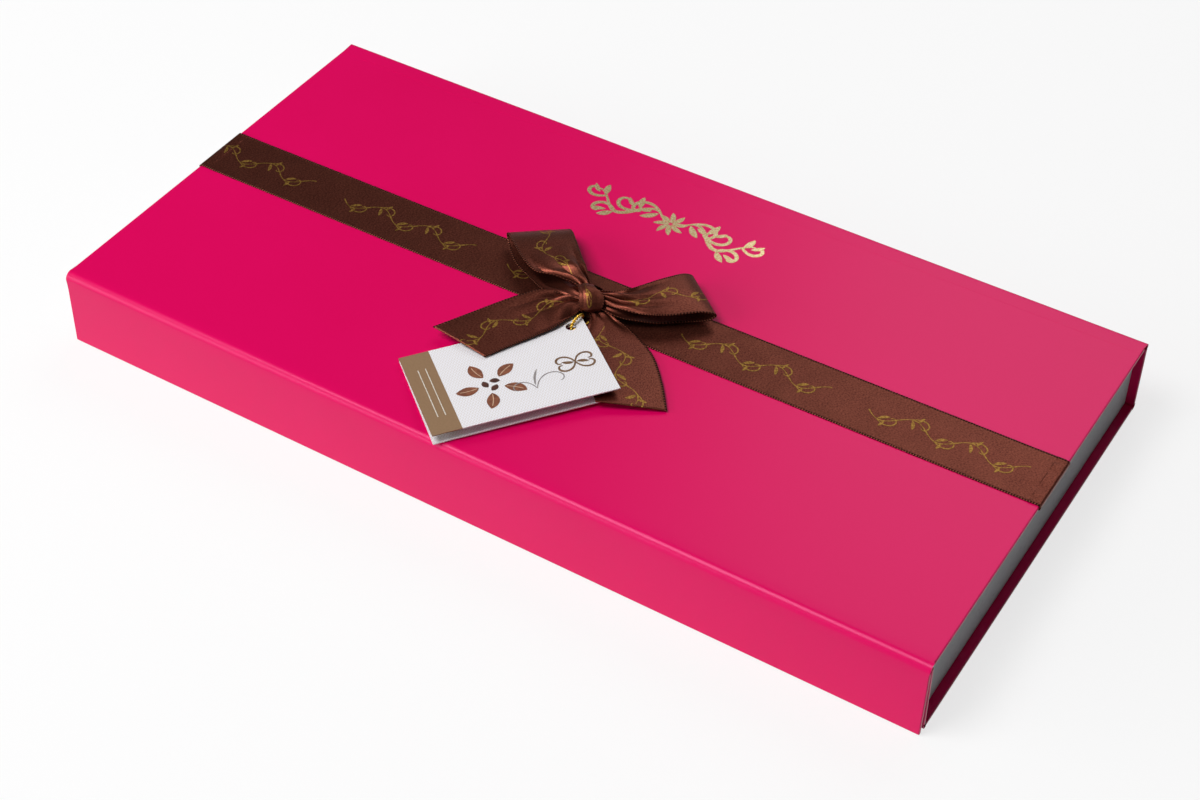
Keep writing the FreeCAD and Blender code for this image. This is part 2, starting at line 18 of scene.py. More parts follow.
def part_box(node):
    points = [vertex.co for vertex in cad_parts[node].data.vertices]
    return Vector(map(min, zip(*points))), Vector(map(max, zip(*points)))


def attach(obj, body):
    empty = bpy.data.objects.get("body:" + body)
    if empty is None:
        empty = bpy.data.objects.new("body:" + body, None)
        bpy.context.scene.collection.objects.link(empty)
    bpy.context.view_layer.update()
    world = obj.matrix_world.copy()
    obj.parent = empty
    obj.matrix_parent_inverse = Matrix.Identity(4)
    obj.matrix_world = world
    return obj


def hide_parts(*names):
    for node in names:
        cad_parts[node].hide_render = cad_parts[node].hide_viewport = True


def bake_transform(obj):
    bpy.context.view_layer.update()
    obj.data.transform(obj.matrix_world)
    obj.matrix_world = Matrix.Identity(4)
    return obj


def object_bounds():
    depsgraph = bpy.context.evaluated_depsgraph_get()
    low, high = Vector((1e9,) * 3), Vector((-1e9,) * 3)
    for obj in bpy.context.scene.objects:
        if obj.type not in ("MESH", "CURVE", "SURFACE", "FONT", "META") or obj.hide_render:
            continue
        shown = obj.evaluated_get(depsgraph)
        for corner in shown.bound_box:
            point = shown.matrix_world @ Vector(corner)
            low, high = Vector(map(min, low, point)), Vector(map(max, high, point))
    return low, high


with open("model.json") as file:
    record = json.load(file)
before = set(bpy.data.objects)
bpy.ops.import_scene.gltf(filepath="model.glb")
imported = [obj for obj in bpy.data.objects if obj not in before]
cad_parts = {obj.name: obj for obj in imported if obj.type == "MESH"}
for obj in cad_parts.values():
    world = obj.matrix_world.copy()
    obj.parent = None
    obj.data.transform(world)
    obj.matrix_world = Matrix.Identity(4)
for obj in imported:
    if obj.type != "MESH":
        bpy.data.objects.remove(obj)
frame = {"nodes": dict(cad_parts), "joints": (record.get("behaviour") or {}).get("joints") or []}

MM = 0.001
scene = bpy.context.scene
nodes = frame["nodes"]
joints = {joint["name"]: joint for joint in frame["joints"]}
cad_low, cad_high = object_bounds()
print("solids span", [round(side / MM, 1) for side in cad_high - cad_low], "mm")

# %% [markdown]
# ## Camera
# The camera stands where the real one stood: above the front right corner, looking down at the bow
# through a long lens, which keeps the long edges of the box nearly parallel. Its place was worked out from
# the corners of the box. It could be aimed with a constraint, but a plain rotation is easier to read.

# %% Set up the camera
CAMERA_PLACE = Vector((326.27, -512.06, 562.87)) * MM
CAMERA_AIM = Vector((27.33, -40.73, 32.5)) * MM
CAMERA_ROLL = math.radians(-0.2545)
camera_data = bpy.data.cameras.new("camera")
camera_data.lens = 65.44
camera_data.sensor_width = 36.0
camera = bpy.data.objects.new("camera", camera_data)
scene.collection.objects.link(camera)
camera.location = CAMERA_PLACE
camera.rotation_mode = "QUATERNION"
level = (CAMERA_AIM - CAMERA_PLACE).to_track_quat("-Z", "Y")
camera.rotation_quaternion = level @ Matrix.Rotation(CAMERA_ROLL, 3, "Z").to_quaternion()
scene.camera = camera
print("camera is", round((CAMERA_AIM - CAMERA_PLACE).length, 3), "m from the lid")

# %% [markdown]
# ## Shader maths
# A shader is a graph, and graphs are hard to read as code. Wrapping a socket in a small class lets the
# maths be written as an expression: every operator adds its own node. Colours are blended with a Mix node,
# and one method adds any other kind of node.

# %% A socket that can be used in expressions
class Value:
    """One socket of a shader tree; arithmetic on it adds Math nodes to that tree."""

    def __init__(self, tree, socket=None):
        self.tree = tree
        self.socket = socket

    def feed(self, socket, source):
        if isinstance(source, Value):
            self.tree.links.new(source.socket, socket)
        else:
            socket.default_value = source

    def node(self, kind, sockets=None, out=0, **settings):
        """A new node: its settings are set first, then its sockets get their values or links."""
        made = self.tree.nodes.new("ShaderNode" + kind)
        for key, setting in settings.items():
            setattr(made, key, setting)
        for key, source in (sockets or {}).items():
            self.feed(made.inputs[key], source)
        return Value(self.tree, made.outputs[out])

    def math(self, operation, first, second=0.0):
        return self.node("Math", {0: first, 1: second}, operation=operation)

    def __add__(self, other):
        return self.math("ADD", self, other)

    def __sub__(self, other):
        return self.math("SUBTRACT", self, other)

    def __rsub__(self, other):
        return self.math("SUBTRACT", other, self)

    def __mul__(self, other):
        return self.math("MULTIPLY", self, other)

    __radd__ = __add__
    __rmul__ = __mul__

    def step(self, low, high):
        """A smooth step from 0 at low to 1 at high."""
        sockets = {"Value": self, "From Min": low, "From Max": high}
        return self.node("MapRange", sockets, interpolation_type="SMOOTHSTEP")

    def mix(self, first, second):
        """The first colour where this value is 0, the second where it is 1."""
        return self.node("Mix", {0: self, 6: first, 7: second}, 2, data_type="RGBA")

    def place(self):
        """Where a point lies on its piece, in metres."""
        return self.node("TexCoord", out="Object")

    def noise(self, scale, detail=2.0, stretch=(1, 1, 1), turn=0.0, place=None):
        """Noise about 1 / scale metres across, stretched along the axes and turned about Z."""
        sockets = {"Vector": place or self.place(), "Scale": stretch, "Rotation": (0, 0, turn)}
        laid = self.node("Mapping", sockets)
        return self.node("TexNoise", {"Vector": laid, "Scale": scale, "Detail": detail})

    def bump(self, height, depth):
        return self.node("Bump", {"Height": height, "Distance": depth, "Strength": 1.0})

    def cover(self, **sockets):
        """Feeds the material's main shader; an underscore stands for each space in a socket's name."""
        shader = self.tree.nodes["Principled BSDF"]
        for name, source in sockets.items():
            self.feed(shader.inputs[name.replace("_", " ")], source)


print("a shader value offers", [name for name in vars(Value) if not name.startswith("_")])

# %% Colours and new finishes
def new_finish(name):
    """A new material, and a value of its shader tree to start expressions from."""
    material = bpy.data.materials.new(name)
    material.use_nodes = True
    return material, Value(material.node_tree)


def srgb(red, green, blue):
    """A colour as a screen shows it, from 0 to 255, in the linear numbers that shaders use."""
    shares = [c / 255 for c in (red, green, blue)]
    return (*(s / 12.92 if s <= 0.04045 else ((s + 0.055) / 1.055) ** 2.4 for s in shares), 1.0)


def grey(tone):
    """A neutral colour of that linear tone."""
    return (tone, tone, tone, 1.0)


print("red as written:", [round(c, 3) for c in srgb(255, 0, 0)])

# %% [markdown]
# ## Floor
# The box was shot on white. A floor that is white to the eye would throw a great deal of light back at the
# sides, so here light bounces off it as off a sheet of paper just larger than the box, on dark boards. That
# lights the recess at the right end from below. What the camera and reflections see is nearly white near
# the box, so that its shadow shows, and pure white far away.

# %% Lay the floor
FLOOR_REACH = 6.0
SHEET_EDGE = (0.26, 0.36)
FADE_TO_WHITE = (0.4, 1.6)
NEAR_WHITE = 0.75
SHEET_TONE, BOARDS_TONE = 0.75, 0.06


def pale_floor():
    mesh = bpy.data.meshes.new("floor")
    corners = [(x * FLOOR_REACH, y * FLOOR_REACH, 0) for x, y in ((-1, -1), (1, -1), (1, 1), (-1, 1))]
    mesh.from_pydata(corners, [], [(0, 1, 2, 3)])
    floor = bpy.data.objects.new("floor", mesh)
    scene.collection.objects.link(floor)
    material, paint = new_finish("floor_paper")
    paper_tone = paint.noise(3).mix(grey(0.9), grey(0.93))
    paint.cover(Base_Color=paper_tone, Roughness=0.9, Specular_IOR_Level=0.1)
    rays = [paint.node("LightPath", out=f"Is {ray} Ray") for ray in ("Camera", "Glossy", "Transmission")]
    seen = rays[0] + rays[1] + rays[2]
    distance = paint.node("VectorMath", {0: paint.place()}, "Value", operation="LENGTH")
    sheet = paint.node("BsdfDiffuse", {"Color": grey(SHEET_TONE)})
    boards = paint.node("BsdfDiffuse", {"Color": grey(BOARDS_TONE)})
    bounce = paint.node("MixShader", {0: distance.step(*SHEET_EDGE), 1: sheet, 2: boards})
    shade = Value(paint.tree, paint.tree.nodes["Principled BSDF"].outputs[0])
    white = paint.node("Emission", {"Color": grey(1.0), "Strength": 1.0})
    whiteness = NEAR_WHITE + distance.step(*FADE_TO_WHITE) * (1 - NEAR_WHITE)
    paper = paint.node("MixShader", {0: whiteness, 1: shade, 2: white})
    surface = paint.node("MixShader", {0: seen, 1: bounce, 2: paper})
    paint.feed(paint.tree.nodes["Material Output"].inputs["Surface"], surface)
    mesh.materials.append(material)


pale_floor()
print("floor reaches", FLOOR_REACH, "m each way")

# %% [markdown]
# ## Light
# A large softbox stands behind the box and draws the pale sheen over the right half of the lid. Two soft
# lights stand in front, one high and one low, both to the left, so that the right end is in shade. The room
# is dim, with pale walls that fill the shade a little, and the eye sees plain white in its place. A picture
# of a studio could light the box as well, but lamps can be moved one at a time.

# %% Set the lights
WALL_COLOUR = (0.2, 0.2, 0.205, 1)
SHADED_WALL_COLOUR = (0.02, 0.02, 0.021, 1)
CEILING_COLOUR = (0.06, 0.06, 0.062, 1)


def pale_room():
    """World light: pale walls near the horizon, dark to the right, a dim ceiling, plain white to the eye."""
    world = bpy.data.worlds.new("room")
    scene.world = world
    world.use_nodes = True
    room = Value(world.node_tree)
    direction = room.node("TexCoord", out="Generated")
    sideways, height = (room.node("SeparateXYZ", {0: direction}, axis) for axis in "XZ")
    walls = sideways.step(-0.2, 0.6).mix(WALL_COLOUR, SHADED_WALL_COLOUR)
    colour = height.step(0.10, 0.45).mix(walls, CEILING_COLOUR)
    looked_at = room.node("LightPath", out="Is Camera Ray")
    room.feed(room.tree.nodes["Background"].inputs["Color"], looked_at.mix(colour, grey(1.0)))


def soft_light(name, place, aim, size, watts):
    data = bpy.data.lights.new(name, "AREA")
    data.shape = "RECTANGLE"
    data.size, data.size_y = size
    data.energy = watts
    light = bpy.data.objects.new(name, data)
    scene.collection.objects.link(light)
    light.location = place
    light.rotation_euler = (Vector(aim) - Vector(place)).to_track_quat("-Z", "Y").to_euler()


scene.view_settings.view_transform = "Standard"
pale_room()
soft_light("back_softbox", place=(-0.05, 1.1, 1.12), aim=(0.06, 0, 0), size=(0.9, 0.8), watts=4.7)
soft_light("front_light", place=(-1.35, -1.4, 0.6), aim=(0, 0, 0), size=(2.0, 1.0), watts=25)
soft_light("main_light", place=(-0.6, -0.8, 1.8), aim=(0, 0, 0), size=(1.0, 1.0), watts=30.5)

# %% [markdown]
# ## Laminated paper
# The case is covered in hot pink paper with a satin film. Up close it has a faint fibre tooth and soft
# clouds in its sheen where the film has been handled. A flat colour would look like plastic, so noise at
# two scales feeds the colour, the roughness and a very shallow bump.

# %% Papers and boards
def laminated_paper(name, deep, bright):
    material, paint = new_finish(name)
    cloud = paint.noise(16, detail=3)
    fibre = paint.noise(1500)
    paint.cover(
        Base_Color=(cloud * 0.7 + fibre * 0.3).mix(deep, bright),
        Roughness=0.285 + cloud * 0.03,
        Normal=paint.bump(fibre * 0.1 + cloud, depth=0.03 * MM),
        Specular_IOR_Level=0.3,
        Specular_Tint=(1.0, 0.6, 0.95, 1.0),
    )
    return material


def bare_board(name, dark, light, grain=1400):
    """Pulp board: matt, with short fibres and specks."""
    material, paint = new_finish(name)
    fibre = paint.noise(grain, detail=4, stretch=(1, 0.35, 1), turn=0.4)
    speck = paint.noise(grain * 0.5, detail=1).step(0.66, 0.72)
    paint.cover(
        Base_Color=(fibre - speck * 0.5).mix(dark, light),
        Normal=paint.bump(fibre, depth=0.06 * MM),
        Roughness=0.85,
        Specular_IOR_Level=0.3,
    )
    return material


wrap_paper = laminated_paper("pink_wrap_paper", srgb(216, 0, 84), srgb(226, 0, 96))
liner_paper = laminated_paper("pink_liner_paper", srgb(208, 0, 78), srgb(219, 0, 90))
grey_board = bare_board("grey_board", srgb(106, 102, 96), srgb(128, 124, 118))
tray_board = bare_board("tray_board", srgb(182, 183, 185), srgb(202, 203, 204), 900)
divider_card = bare_board("divider_card", srgb(72, 40, 28), srgb(92, 52, 36))
cup_paper = bare_board("cup_paper", srgb(52, 27, 18), srgb(70, 38, 26), 2200)
print("papers:", wrap_paper.name, liner_paper.name, grey_board.name, tray_board.name)

# %% [markdown]
# ## Helpers for meshes
# Most pieces here are sheets or lofts, which are grids of points: rows along the piece, columns across it.
# One function turns such a grid into a mesh, with the real distances along and across as its UV map, so
# that a weave or a print can be drawn in millimetres. Another makes the finished piece and rides it on a
# body.

# %% Meshes from grids
def grid_mesh(name, points, uv=None, ring=False, caps=(False, False)):
    """Mesh from rows of points; a ring joins the last column to the first, caps close its ends."""
    rows, columns = points.shape[:2]

    def at(row, column):
        return row * columns + column % columns

    faces = [
        (at(i, j), at(i, j + 1), at(i + 1, j + 1), at(i + 1, j))
        for i in range(rows - 1)
        for j in range(columns if ring else columns - 1)
    ]
    if caps[0]:
        faces.append(tuple(reversed(range(columns))))
    if caps[1]:
        faces.append(tuple(range((rows - 1) * columns, rows * columns)))
    mesh = bpy.data.meshes.new(name)
    mesh.from_pydata(points.reshape(-1, 3).tolist(), [], faces)
    if uv is not None:
        layer = mesh.uv_layers.new(name="cloth")
        corners = np.zeros(len(mesh.loops), np.int32)
        mesh.loops.foreach_get("vertex_index", corners)
        layer.data.foreach_set("uv", uv.reshape(-1, 2)[corners].astype(np.float32).ravel())
    return mesh


def ring_mesh(name, rows, top=True):
    """Mesh from a stack of rings, closed at the foot and, unless it is a cup, at the top."""
    return grid_mesh(name, np.array(rows), ring=True, caps=(True, top))


def mesh_of(name, shape):
    """A mesh from an edited shape, which is then freed."""
    mesh = bpy.data.meshes.new(name)
    shape.to_mesh(mesh)
    shape.free()
    return mesh


def joined(name, meshes):
    """One mesh out of several."""
    whole = bmesh.new()
    for mesh in meshes:
        whole.from_mesh(mesh)
        bpy.data.meshes.remove(mesh)
    return mesh_of(name, whole)


print("meshes so far:", len(bpy.data.meshes))

# %% Outlines and smooth curves
def around(angles, reach_x, reach_y=None):
    """Flat points at the given angles of a circle, or of an ellipse with a second reach."""
    if reach_y is None:
        reach_y = reach_x
    return np.stack([reach_x * np.cos(angles), reach_y * np.sin(angles)], -1)


def stacked(outlines):
    """Rows of points from pairs of a flat outline and its height."""
    return np.array([np.column_stack([outline, np.full(len(outline), z)]) for outline, z in outlines])


def unit(vectors):
    return vectors / np.maximum(np.linalg.norm(vectors, axis=-1, keepdims=True), 1e-12)


def distances(line):
    """How far along a line each of its points lies."""
    return np.concatenate([[0], np.cumsum(np.linalg.norm(np.diff(line, axis=0), axis=1))])


def through(points, steps):
    """Points along a smooth curve that passes through the given ones (Catmull-Rom)."""
    points = np.array(points, float)
    padded = np.vstack([2 * points[0] - points[1], points, 2 * points[-1] - points[-2]])
    t = np.linspace(0, 1, steps, endpoint=False)[:, None]
    spans = []
    for a, b, c, d in zip(padded, padded[1:], padded[2:], padded[3:]):
        square, cube = 2 * a - 5 * b + 4 * c - d, 3 * b - a - 3 * c + d
        spans.append(0.5 * (2 * b + (c - a) * t + square * t**2 + cube * t**3))
    return np.vstack([*spans, points[-1:]])


print("a smooth curve through 3 points:", len(through([(0, 0, 0), (1, 1, 0), (2, 0, 0)], 4)), "points")

# %% Finished pieces
def new_piece(name, mesh, material, sharp=None, body=None, node=None):
    """An object for the mesh, smooth except along edges sharper than the given angle.

    It rides on the body, if one is given, and hides the node that it stands for, if there is one."""
    mesh.shade_smooth()
    if sharp is not None:
        mesh.set_sharp_from_angle(angle=math.radians(sharp))
    mesh.materials.clear()
    mesh.materials.append(material)
    piece = bpy.data.objects.new(name, mesh)
    scene.collection.objects.link(piece)
    if body:
        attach(piece, body)
    if node:
        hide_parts(node)
    return piece


def thicken(piece, thickness):
    """Gives a sheet its thickness, half to each side."""
    solid = piece.modifiers.new("thickness", "SOLIDIFY")
    solid.thickness = thickness
    solid.offset = 0.0


print("solids to dress:", len(nodes))

# %% [markdown]
# ## Covered panels
# Each wall of the case is a board with paper drawn tight over it, so its edges are slightly round and catch
# a thin line of light. The solids have knife edges. A bevel modifier would cut them, but the paper skins
# are so thin that a fresh rounded panel of the same size is cleaner. Its inner face sits a hair lower than
# the liner, which shows as a pasted sheet. Where the paper runs on into a hinge the edge stays square and
# passes the board by a hair. The flap leans out a little, so it is measured upright and then tipped. Smooth
# shading would let the round edges tilt the sheen of the whole face, so a modifier weighs it by area.

# %% Round the five panels
EDGE_ROUND = 0.45 * MM
LINER_PROUD = 0.06 * MM
PAPER_PAST_BOARD = 0.03 * MM
flap_axis = Vector(joints["flap_hinge"]["pos_m"])
FLAP_LEAN = math.radians(-joints["flap_hinge"]["range_deg"][0])
tip_flap = (
    Matrix.Translation(flap_axis) @ Matrix.Rotation(-FLAP_LEAN, 4, "X") @ Matrix.Translation(-flap_axis)
)


def straight_box(node, placing):
    """Lowest and highest corner of a solid in the frame that the placing matrix turns it from."""
    back = placing.inverted()
    corners = np.array([back @ vertex.co for vertex in nodes[node].data.vertices])
    return corners.min(0), corners.max(0)


def covered_panel(name, body, inside, free_end, placing=Matrix.Identity(4)):
    """A rounded panel: the axis and sign of its inner face, and the sign of the long edge without a hinge."""
    low, high = straight_box(name + "_wrap", placing)
    axis, sign = inside
    run = 3 - axis
    if sign > 0:
        high[axis] -= LINER_PROUD
    else:
        low[axis] += LINER_PROUD
    if free_end >= 0:
        low[run] -= PAPER_PAST_BOARD
    if free_end <= 0:
        high[run] += PAPER_PAST_BOARD
    middle = (low + high) / 2
    shape = bmesh.new()
    bmesh.ops.create_cube(shape, size=1.0)
    for vertex in shape.verts:
        vertex.co = Vector(middle + (high - low) * np.array(vertex.co))
    turned = []
    for edge in shape.edges:
        first, last = (vertex.co for vertex in edge.verts)
        lengthwise = abs(first.x - last.x) > EDGE_ROUND
        at_free_end = (first[run] - middle[run]) * free_end > 0
        if not lengthwise or at_free_end:
            turned.append(edge)
    bmesh.ops.bevel(shape, geom=turned, offset=EDGE_ROUND, segments=4, profile=0.5, affect="EDGES")
    shape.transform(placing)
    cover = name + "_cover"
    mesh = mesh_of(cover, shape)
    piece = new_piece(cover, mesh, wrap_paper, sharp=30, body=body, node=name + "_wrap")
    level_faces = piece.modifiers.new("level_faces", "WEIGHTED_NORMAL")
    level_faces.weight = 100
    level_faces.keep_sharp = True


covered_panel("base", "case", inside=(2, 1), free_end=0)
covered_panel("front", "case", inside=(1, 1), free_end=1)
covered_panel("spine", "case", inside=(1, -1), free_end=0)
covered_panel("lid", "lid", inside=(2, -1), free_end=0)
covered_panel("flap", "flap", inside=(1, 1), free_end=-1, placing=tip_flap)
print("flap leans out", round(math.degrees(FLAP_LEAN), 1), "degrees")

# %% [markdown]
# ## Paper hinges
# Between two boards the wrap and the liner are pasted together and bend. At the back the bend is tight. At
# the front the paper leaves one board, rolls over the corner in one wide bend and meets the next, so a soft
# bright line runs along the roll between two deeper bands. A solid gutter can ride on one panel only, so a
# strip is swept along the box in its place. It laps a little way over each panel, which hides the joint as
# the unbroken wrap does.

# %% Shape a paper hinge
PAPER_PAIR = 0.3 * MM
LAP = 4.0 * MM
LAP_PROUD = 0.03 * MM
WOBBLE = 0.012 * MM
ROLL_STEPS, SWEEP_STEPS = 33, 121
lid_axis = Vector(joints["lid_hinge"]["pos_m"])
TOP_BEND = cad_high.y - lid_axis.y
HALF_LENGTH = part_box("lid_wrap")[1].x


def hinge_profile(angles, leads, roll):
    """Places round a bend as (angle, run, sink, sway, narrowing): lap, lead, roll, lead, lap."""
    first, last = (math.radians(a) for a in angles)
    middle, half = (first + last) / 2, (last - first) / 2
    reach = (roll - TOP_BEND) / math.cos(half)
    places = [(first, -leads[0] - run, -LAP_PROUD, 0.0, EDGE_ROUND) for run in (LAP, EDGE_ROUND)]
    for t in np.linspace(0, 1, ROLL_STEPS):
        angle = first + (last - first) * t
        run, sink = reach * math.sin(angle - middle), TOP_BEND - roll + reach * math.cos(angle - middle)
        places.append((angle, run, sink, math.sin(math.pi * t), 0.0))
    places += [(last, leads[1] + run, -LAP_PROUD, 0.0, EDGE_ROUND) for run in (EDGE_ROUND, LAP)]
    return places


def hinge_paper(name, node, axis, places):
    """Paper strip along X, bent to the given profile about an axis."""
    rows = []
    for share in np.linspace(-1, 1, SWEEP_STEPS):
        x = share * HALF_LENGTH
        wobble = WOBBLE * (math.sin(61 * x) + math.sin(23.7 * x + 1) + 0.5 * math.sin(147 * x))
        faces = []
        for depth in (0.0, PAPER_PAIR):
            for angle, run, sink, sway, narrowing in places:
                radius = TOP_BEND - depth - sink + wobble * sway
                y = axis.y + radius * math.cos(angle) - run * math.sin(angle)
                z = axis.z + radius * math.sin(angle) + run * math.cos(angle)
                faces.append((share * (HALF_LENGTH - narrowing), y, z))
        rows.append(faces[: len(places)] + faces[: len(places) - 1 : -1])
    piece = new_piece(name, ring_mesh(name, rows), wrap_paper, sharp=60, node=node)
    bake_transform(piece)


print("a hinge runs", round(2 * HALF_LENGTH / MM, 1), "mm along the box")

# %% Roll the paper hinges
lid_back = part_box("lid_wrap")[1].y
spine_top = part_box("spine_wrap")[1].z
hinge_paper(
    "lid_hinge_paper",
    "lid_gutter",
    lid_axis,
    hinge_profile((0, 90), (lid_axis.z - spine_top, lid_axis.y - lid_back), TOP_BEND),
)
flap_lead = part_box("lid_wrap")[0].y - flap_axis.y
FRONT_ROLL = TOP_BEND + flap_lead / math.tan((math.pi / 2 - FLAP_LEAN) / 2)
hinge_paper(
    "flap_hinge_paper",
    "flap_gutter",
    flap_axis,
    hinge_profile((90, 180 - math.degrees(FLAP_LEAN)), (flap_lead, flap_lead), FRONT_ROLL),
)
print("paper bends of", round(TOP_BEND / MM, 2), "and", round(FRONT_ROLL / MM, 2), "mm radius")

# %% [markdown]
# ## Boards, liners, tray and magnets
# These solids already have the right shape, so they stay and only take a finish. The tray's cut edges get a
# small bevel as a modifier, which leaves the solid itself as it was.

# %% Finish the solids that stay
TRAY_ROUND = 0.15 * MM


def brushed_magnet():
    material, paint = new_finish("magnet_steel")
    brush = paint.noise(900, detail=3, stretch=(1, 1, 20))
    tone = brush.mix(srgb(176, 178, 182), srgb(206, 208, 210))
    paint.cover(Base_Color=tone, Roughness=0.25 + brush * 0.2, Metallic=1.0)
    return material


def hot_glue():
    material, paint = new_finish("hot_glue")
    paint.cover(Base_Color=paint.noise(400).mix(srgb(112, 84, 62), srgb(140, 110, 84)), Roughness=0.25)
    return material


def dress(material, names, bevel=0.0):
    for name in names:
        solid = nodes[name]
        solid.data.materials.clear()
        solid.data.materials.append(material)
        if bevel:
            rounding = solid.modifiers.new("rounding", "BEVEL")
            rounding.width = bevel
            rounding.segments = 2
            rounding.limit_method = "ANGLE"


panels = ("base", "front", "spine", "lid", "flap")
dress(grey_board, [panel + "_board" for panel in panels])
dress(liner_paper, [panel + "_liner" for panel in panels])
dress(wrap_paper, ["base_front_gutter", "base_back_gutter"])
dress(brushed_magnet(), ["flap_magnets", "wall_magnets"])
dress(hot_glue(), ["bow_glue"])
dress(tray_board, [name for name in nodes if name.startswith("tray_")], TRAY_ROUND)
dress(divider_card, ["long_dividers", "cross_dividers"])
print("solids still shown:", sum(not solid.hide_render for solid in nodes.values()))

# %% [markdown]
# ## Satin ribbon
# Satin shows long floats of shiny thread, so it has a coloured gloss, a fine grain and a selvedge: the
# corded edge whose stitches read as a row of dots. Sheen would suit a fuzzy cloth. Here the shader is mostly
# metallic, which makes the highlights brown and not white. The UV map holds the distance across and along
# the ribbon, in metres.

# %% Weave the satin
RIBBON_WIDTH = 25 * MM
RIBBON_THICK = 0.35 * MM
SELVEDGE = 0.9 * MM
SELVEDGE_BLUR = 0.3 * MM
STITCH_PITCH = 1.0 * MM


def satin(name, deep, bright):
    material, paint = new_finish(name)
    cloth = paint.node("UVMap", uv_map="cloth")
    across, along = (paint.node("SeparateXYZ", {0: cloth}, axis) for axis in "XY")
    grain = paint.noise(2300, stretch=(1, 0.6, 1), place=cloth)
    cloud = paint.noise(90, place=cloth)
    from_middle = paint.math("ABSOLUTE", across - RIBBON_WIDTH / 2)
    inner_edge = RIBBON_WIDTH / 2 - SELVEDGE
    edge = from_middle.step(inner_edge, inner_edge + SELVEDGE_BLUR)
    stitch = paint.math("SINE", along * (2 * math.pi / STITCH_PITCH)).step(-0.3, 0.6)
    weave = (grain.step(0.25, 0.75) * 0.7 + cloud * 0.3).mix(deep, bright)
    knit = stitch.mix(srgb(48, 18, 13), srgb(118, 66, 50))
    paint.cover(
        Base_Color=edge.mix(weave, knit),
        Roughness=0.34 + grain * 0.12 + edge * 0.1,
        Normal=paint.bump(grain * 0.3 + cloud * 3 + edge * stitch * 1.2, depth=0.08 * MM),
        Metallic=0.86,
        Specular_IOR_Level=0.25,
    )
    return material


ribbon_satin = satin("brown_satin", srgb(68, 26, 19), srgb(136, 74, 58))
print("ribbon", RIBBON_WIDTH / MM, "mm wide")

# %% [markdown]
# ## A ribbon laid through cross sections
# A ribbon bends freely but keeps its width, and where it is gathered it pleats. Cloth simulation could tie
# it, but the bow has to lie as photographed, so each strip runs through a few listed cross sections: its
# left and right edge, how much it crowns between them, and how deep its pleats are.

# %% The strip
STRIP_COLUMNS = 61
WAVER_LENGTH = 2.0 * MM


class Strip:
    """A ribbon as a grid of points, with the outer normal and the distance along and across at each."""

    def __init__(self, sections, pleats=3, phase=0.0, steps=10, columns=STRIP_COLUMNS):
        laid = through([[*left, *right, crown, pleat] for left, right, crown, pleat in sections], steps) * MM
        left, right, crown, pleat = laid[:, :3], laid[:, 3:6], laid[:, 6:7], laid[:, 7:8]
        share = np.linspace(0, 1, columns)
        middle = (left + right) / 2
        along = np.gradient(middle, axis=0)
        normal = unit(np.cross(right - left, along))
        self.run = distances(middle)
        uneven = share + 0.07 * np.sin(2 * math.pi * share + 5 * phase)
        fold = 1.6 * np.abs(np.cos(math.pi * pleats * uneven + phase)) - 1.0
        waver = np.sin(self.run[:, None] / WAVER_LENGTH + 7 * share + phase)
        rise = crown * (1 - (2 * share - 1) ** 2) + pleat * (fold + 0.28 * waver)
        flat = left[:, None] + (right - left)[:, None] * share[None, :, None]
        self.points = flat + normal[:, None] * rise[..., None]
        down, over = np.gradient(self.points, axis=0), np.gradient(self.points, axis=1)
        self.normals = unit(np.cross(over, down))
        self.uv = np.stack(np.broadcast_arrays(share[None] * RIBBON_WIDTH, self.run[:, None]), -1)

    def at(self, along, across, lift):
        """The point over the strip that many metres along it and from its left edge."""
        i = np.interp(along, self.run, np.arange(len(self.run)))
        j = np.clip(across / RIBBON_WIDTH, 0, 1) * (self.points.shape[1] - 1)
        i0 = np.minimum(i.astype(int), len(self.run) - 2)
        j0 = np.minimum(j.astype(int), self.points.shape[1] - 2)
        di, dj = (i - i0)[:, None], (j - j0)[:, None]

        def between(grid):
            near = grid[i0, j0] * (1 - dj) + grid[i0, j0 + 1] * dj
            far = grid[i0 + 1, j0] * (1 - dj) + grid[i0 + 1, j0 + 1] * dj
            return near * (1 - di) + far * di

        return between(self.points) + unit(between(self.normals)) * lift


def cloth_piece(strip, name, node, body=None):
    """The strip's own piece, which prints the length of ribbon that it is."""
    mesh = grid_mesh(name, strip.points, strip.uv)
    piece = new_piece(name, mesh, ribbon_satin, body=body, node=node)
    thicken(piece, RIBBON_THICK)
    print(name, "is", round(strip.run[-1] / MM), "mm of ribbon")
    return piece


print("a strip is", STRIP_COLUMNS, "points across")

# %% [markdown]
# ## The band round the lid
# The ribbon crosses the lid a little askew, folds over both ends and is glued to the underside. Its path is
# a list of places in the XZ plane, close together at the folds, where the ribbon stands off the edge
# slightly and puckers. A curve with a flat profile could follow the same path, but without the puckers.

# %% Wrap the band
band_low, band_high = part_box("ribbon_band")
BAND_MIDDLE = (band_low.y + band_high.y) / 2 / MM
BAND_SKEW = math.tan(math.radians(0.6))
BAND_TOP = band_high.z / MM
HALF_RIBBON = RIBBON_WIDTH / MM / 2
PUCKER = 0.12
PUCKER_FROM = 32.8
band_path = [
    (150.0, 30.83),
    (165.0, 30.83),
    (176.0, 30.83),
    (179.4, 30.85),
    (180.25, 31.2),
    (180.33, 31.75),
    (180.25, 32.35),
    (179.5, 32.76),
    (176.5, 32.82),
    (168.0, 32.72),
    (110.0, 32.68),
    (50.0, 32.68),
]
band_sections = []
for x, z in [(-x, z) for x, z in band_path] + band_path[::-1]:
    y = BAND_MIDDLE + x * BAND_SKEW
    pucker = PUCKER if z > PUCKER_FROM else 0.0
    band_sections.append(((x, y + HALF_RIBBON, z), (x, y - HALF_RIBBON, z), 0.0, pucker))
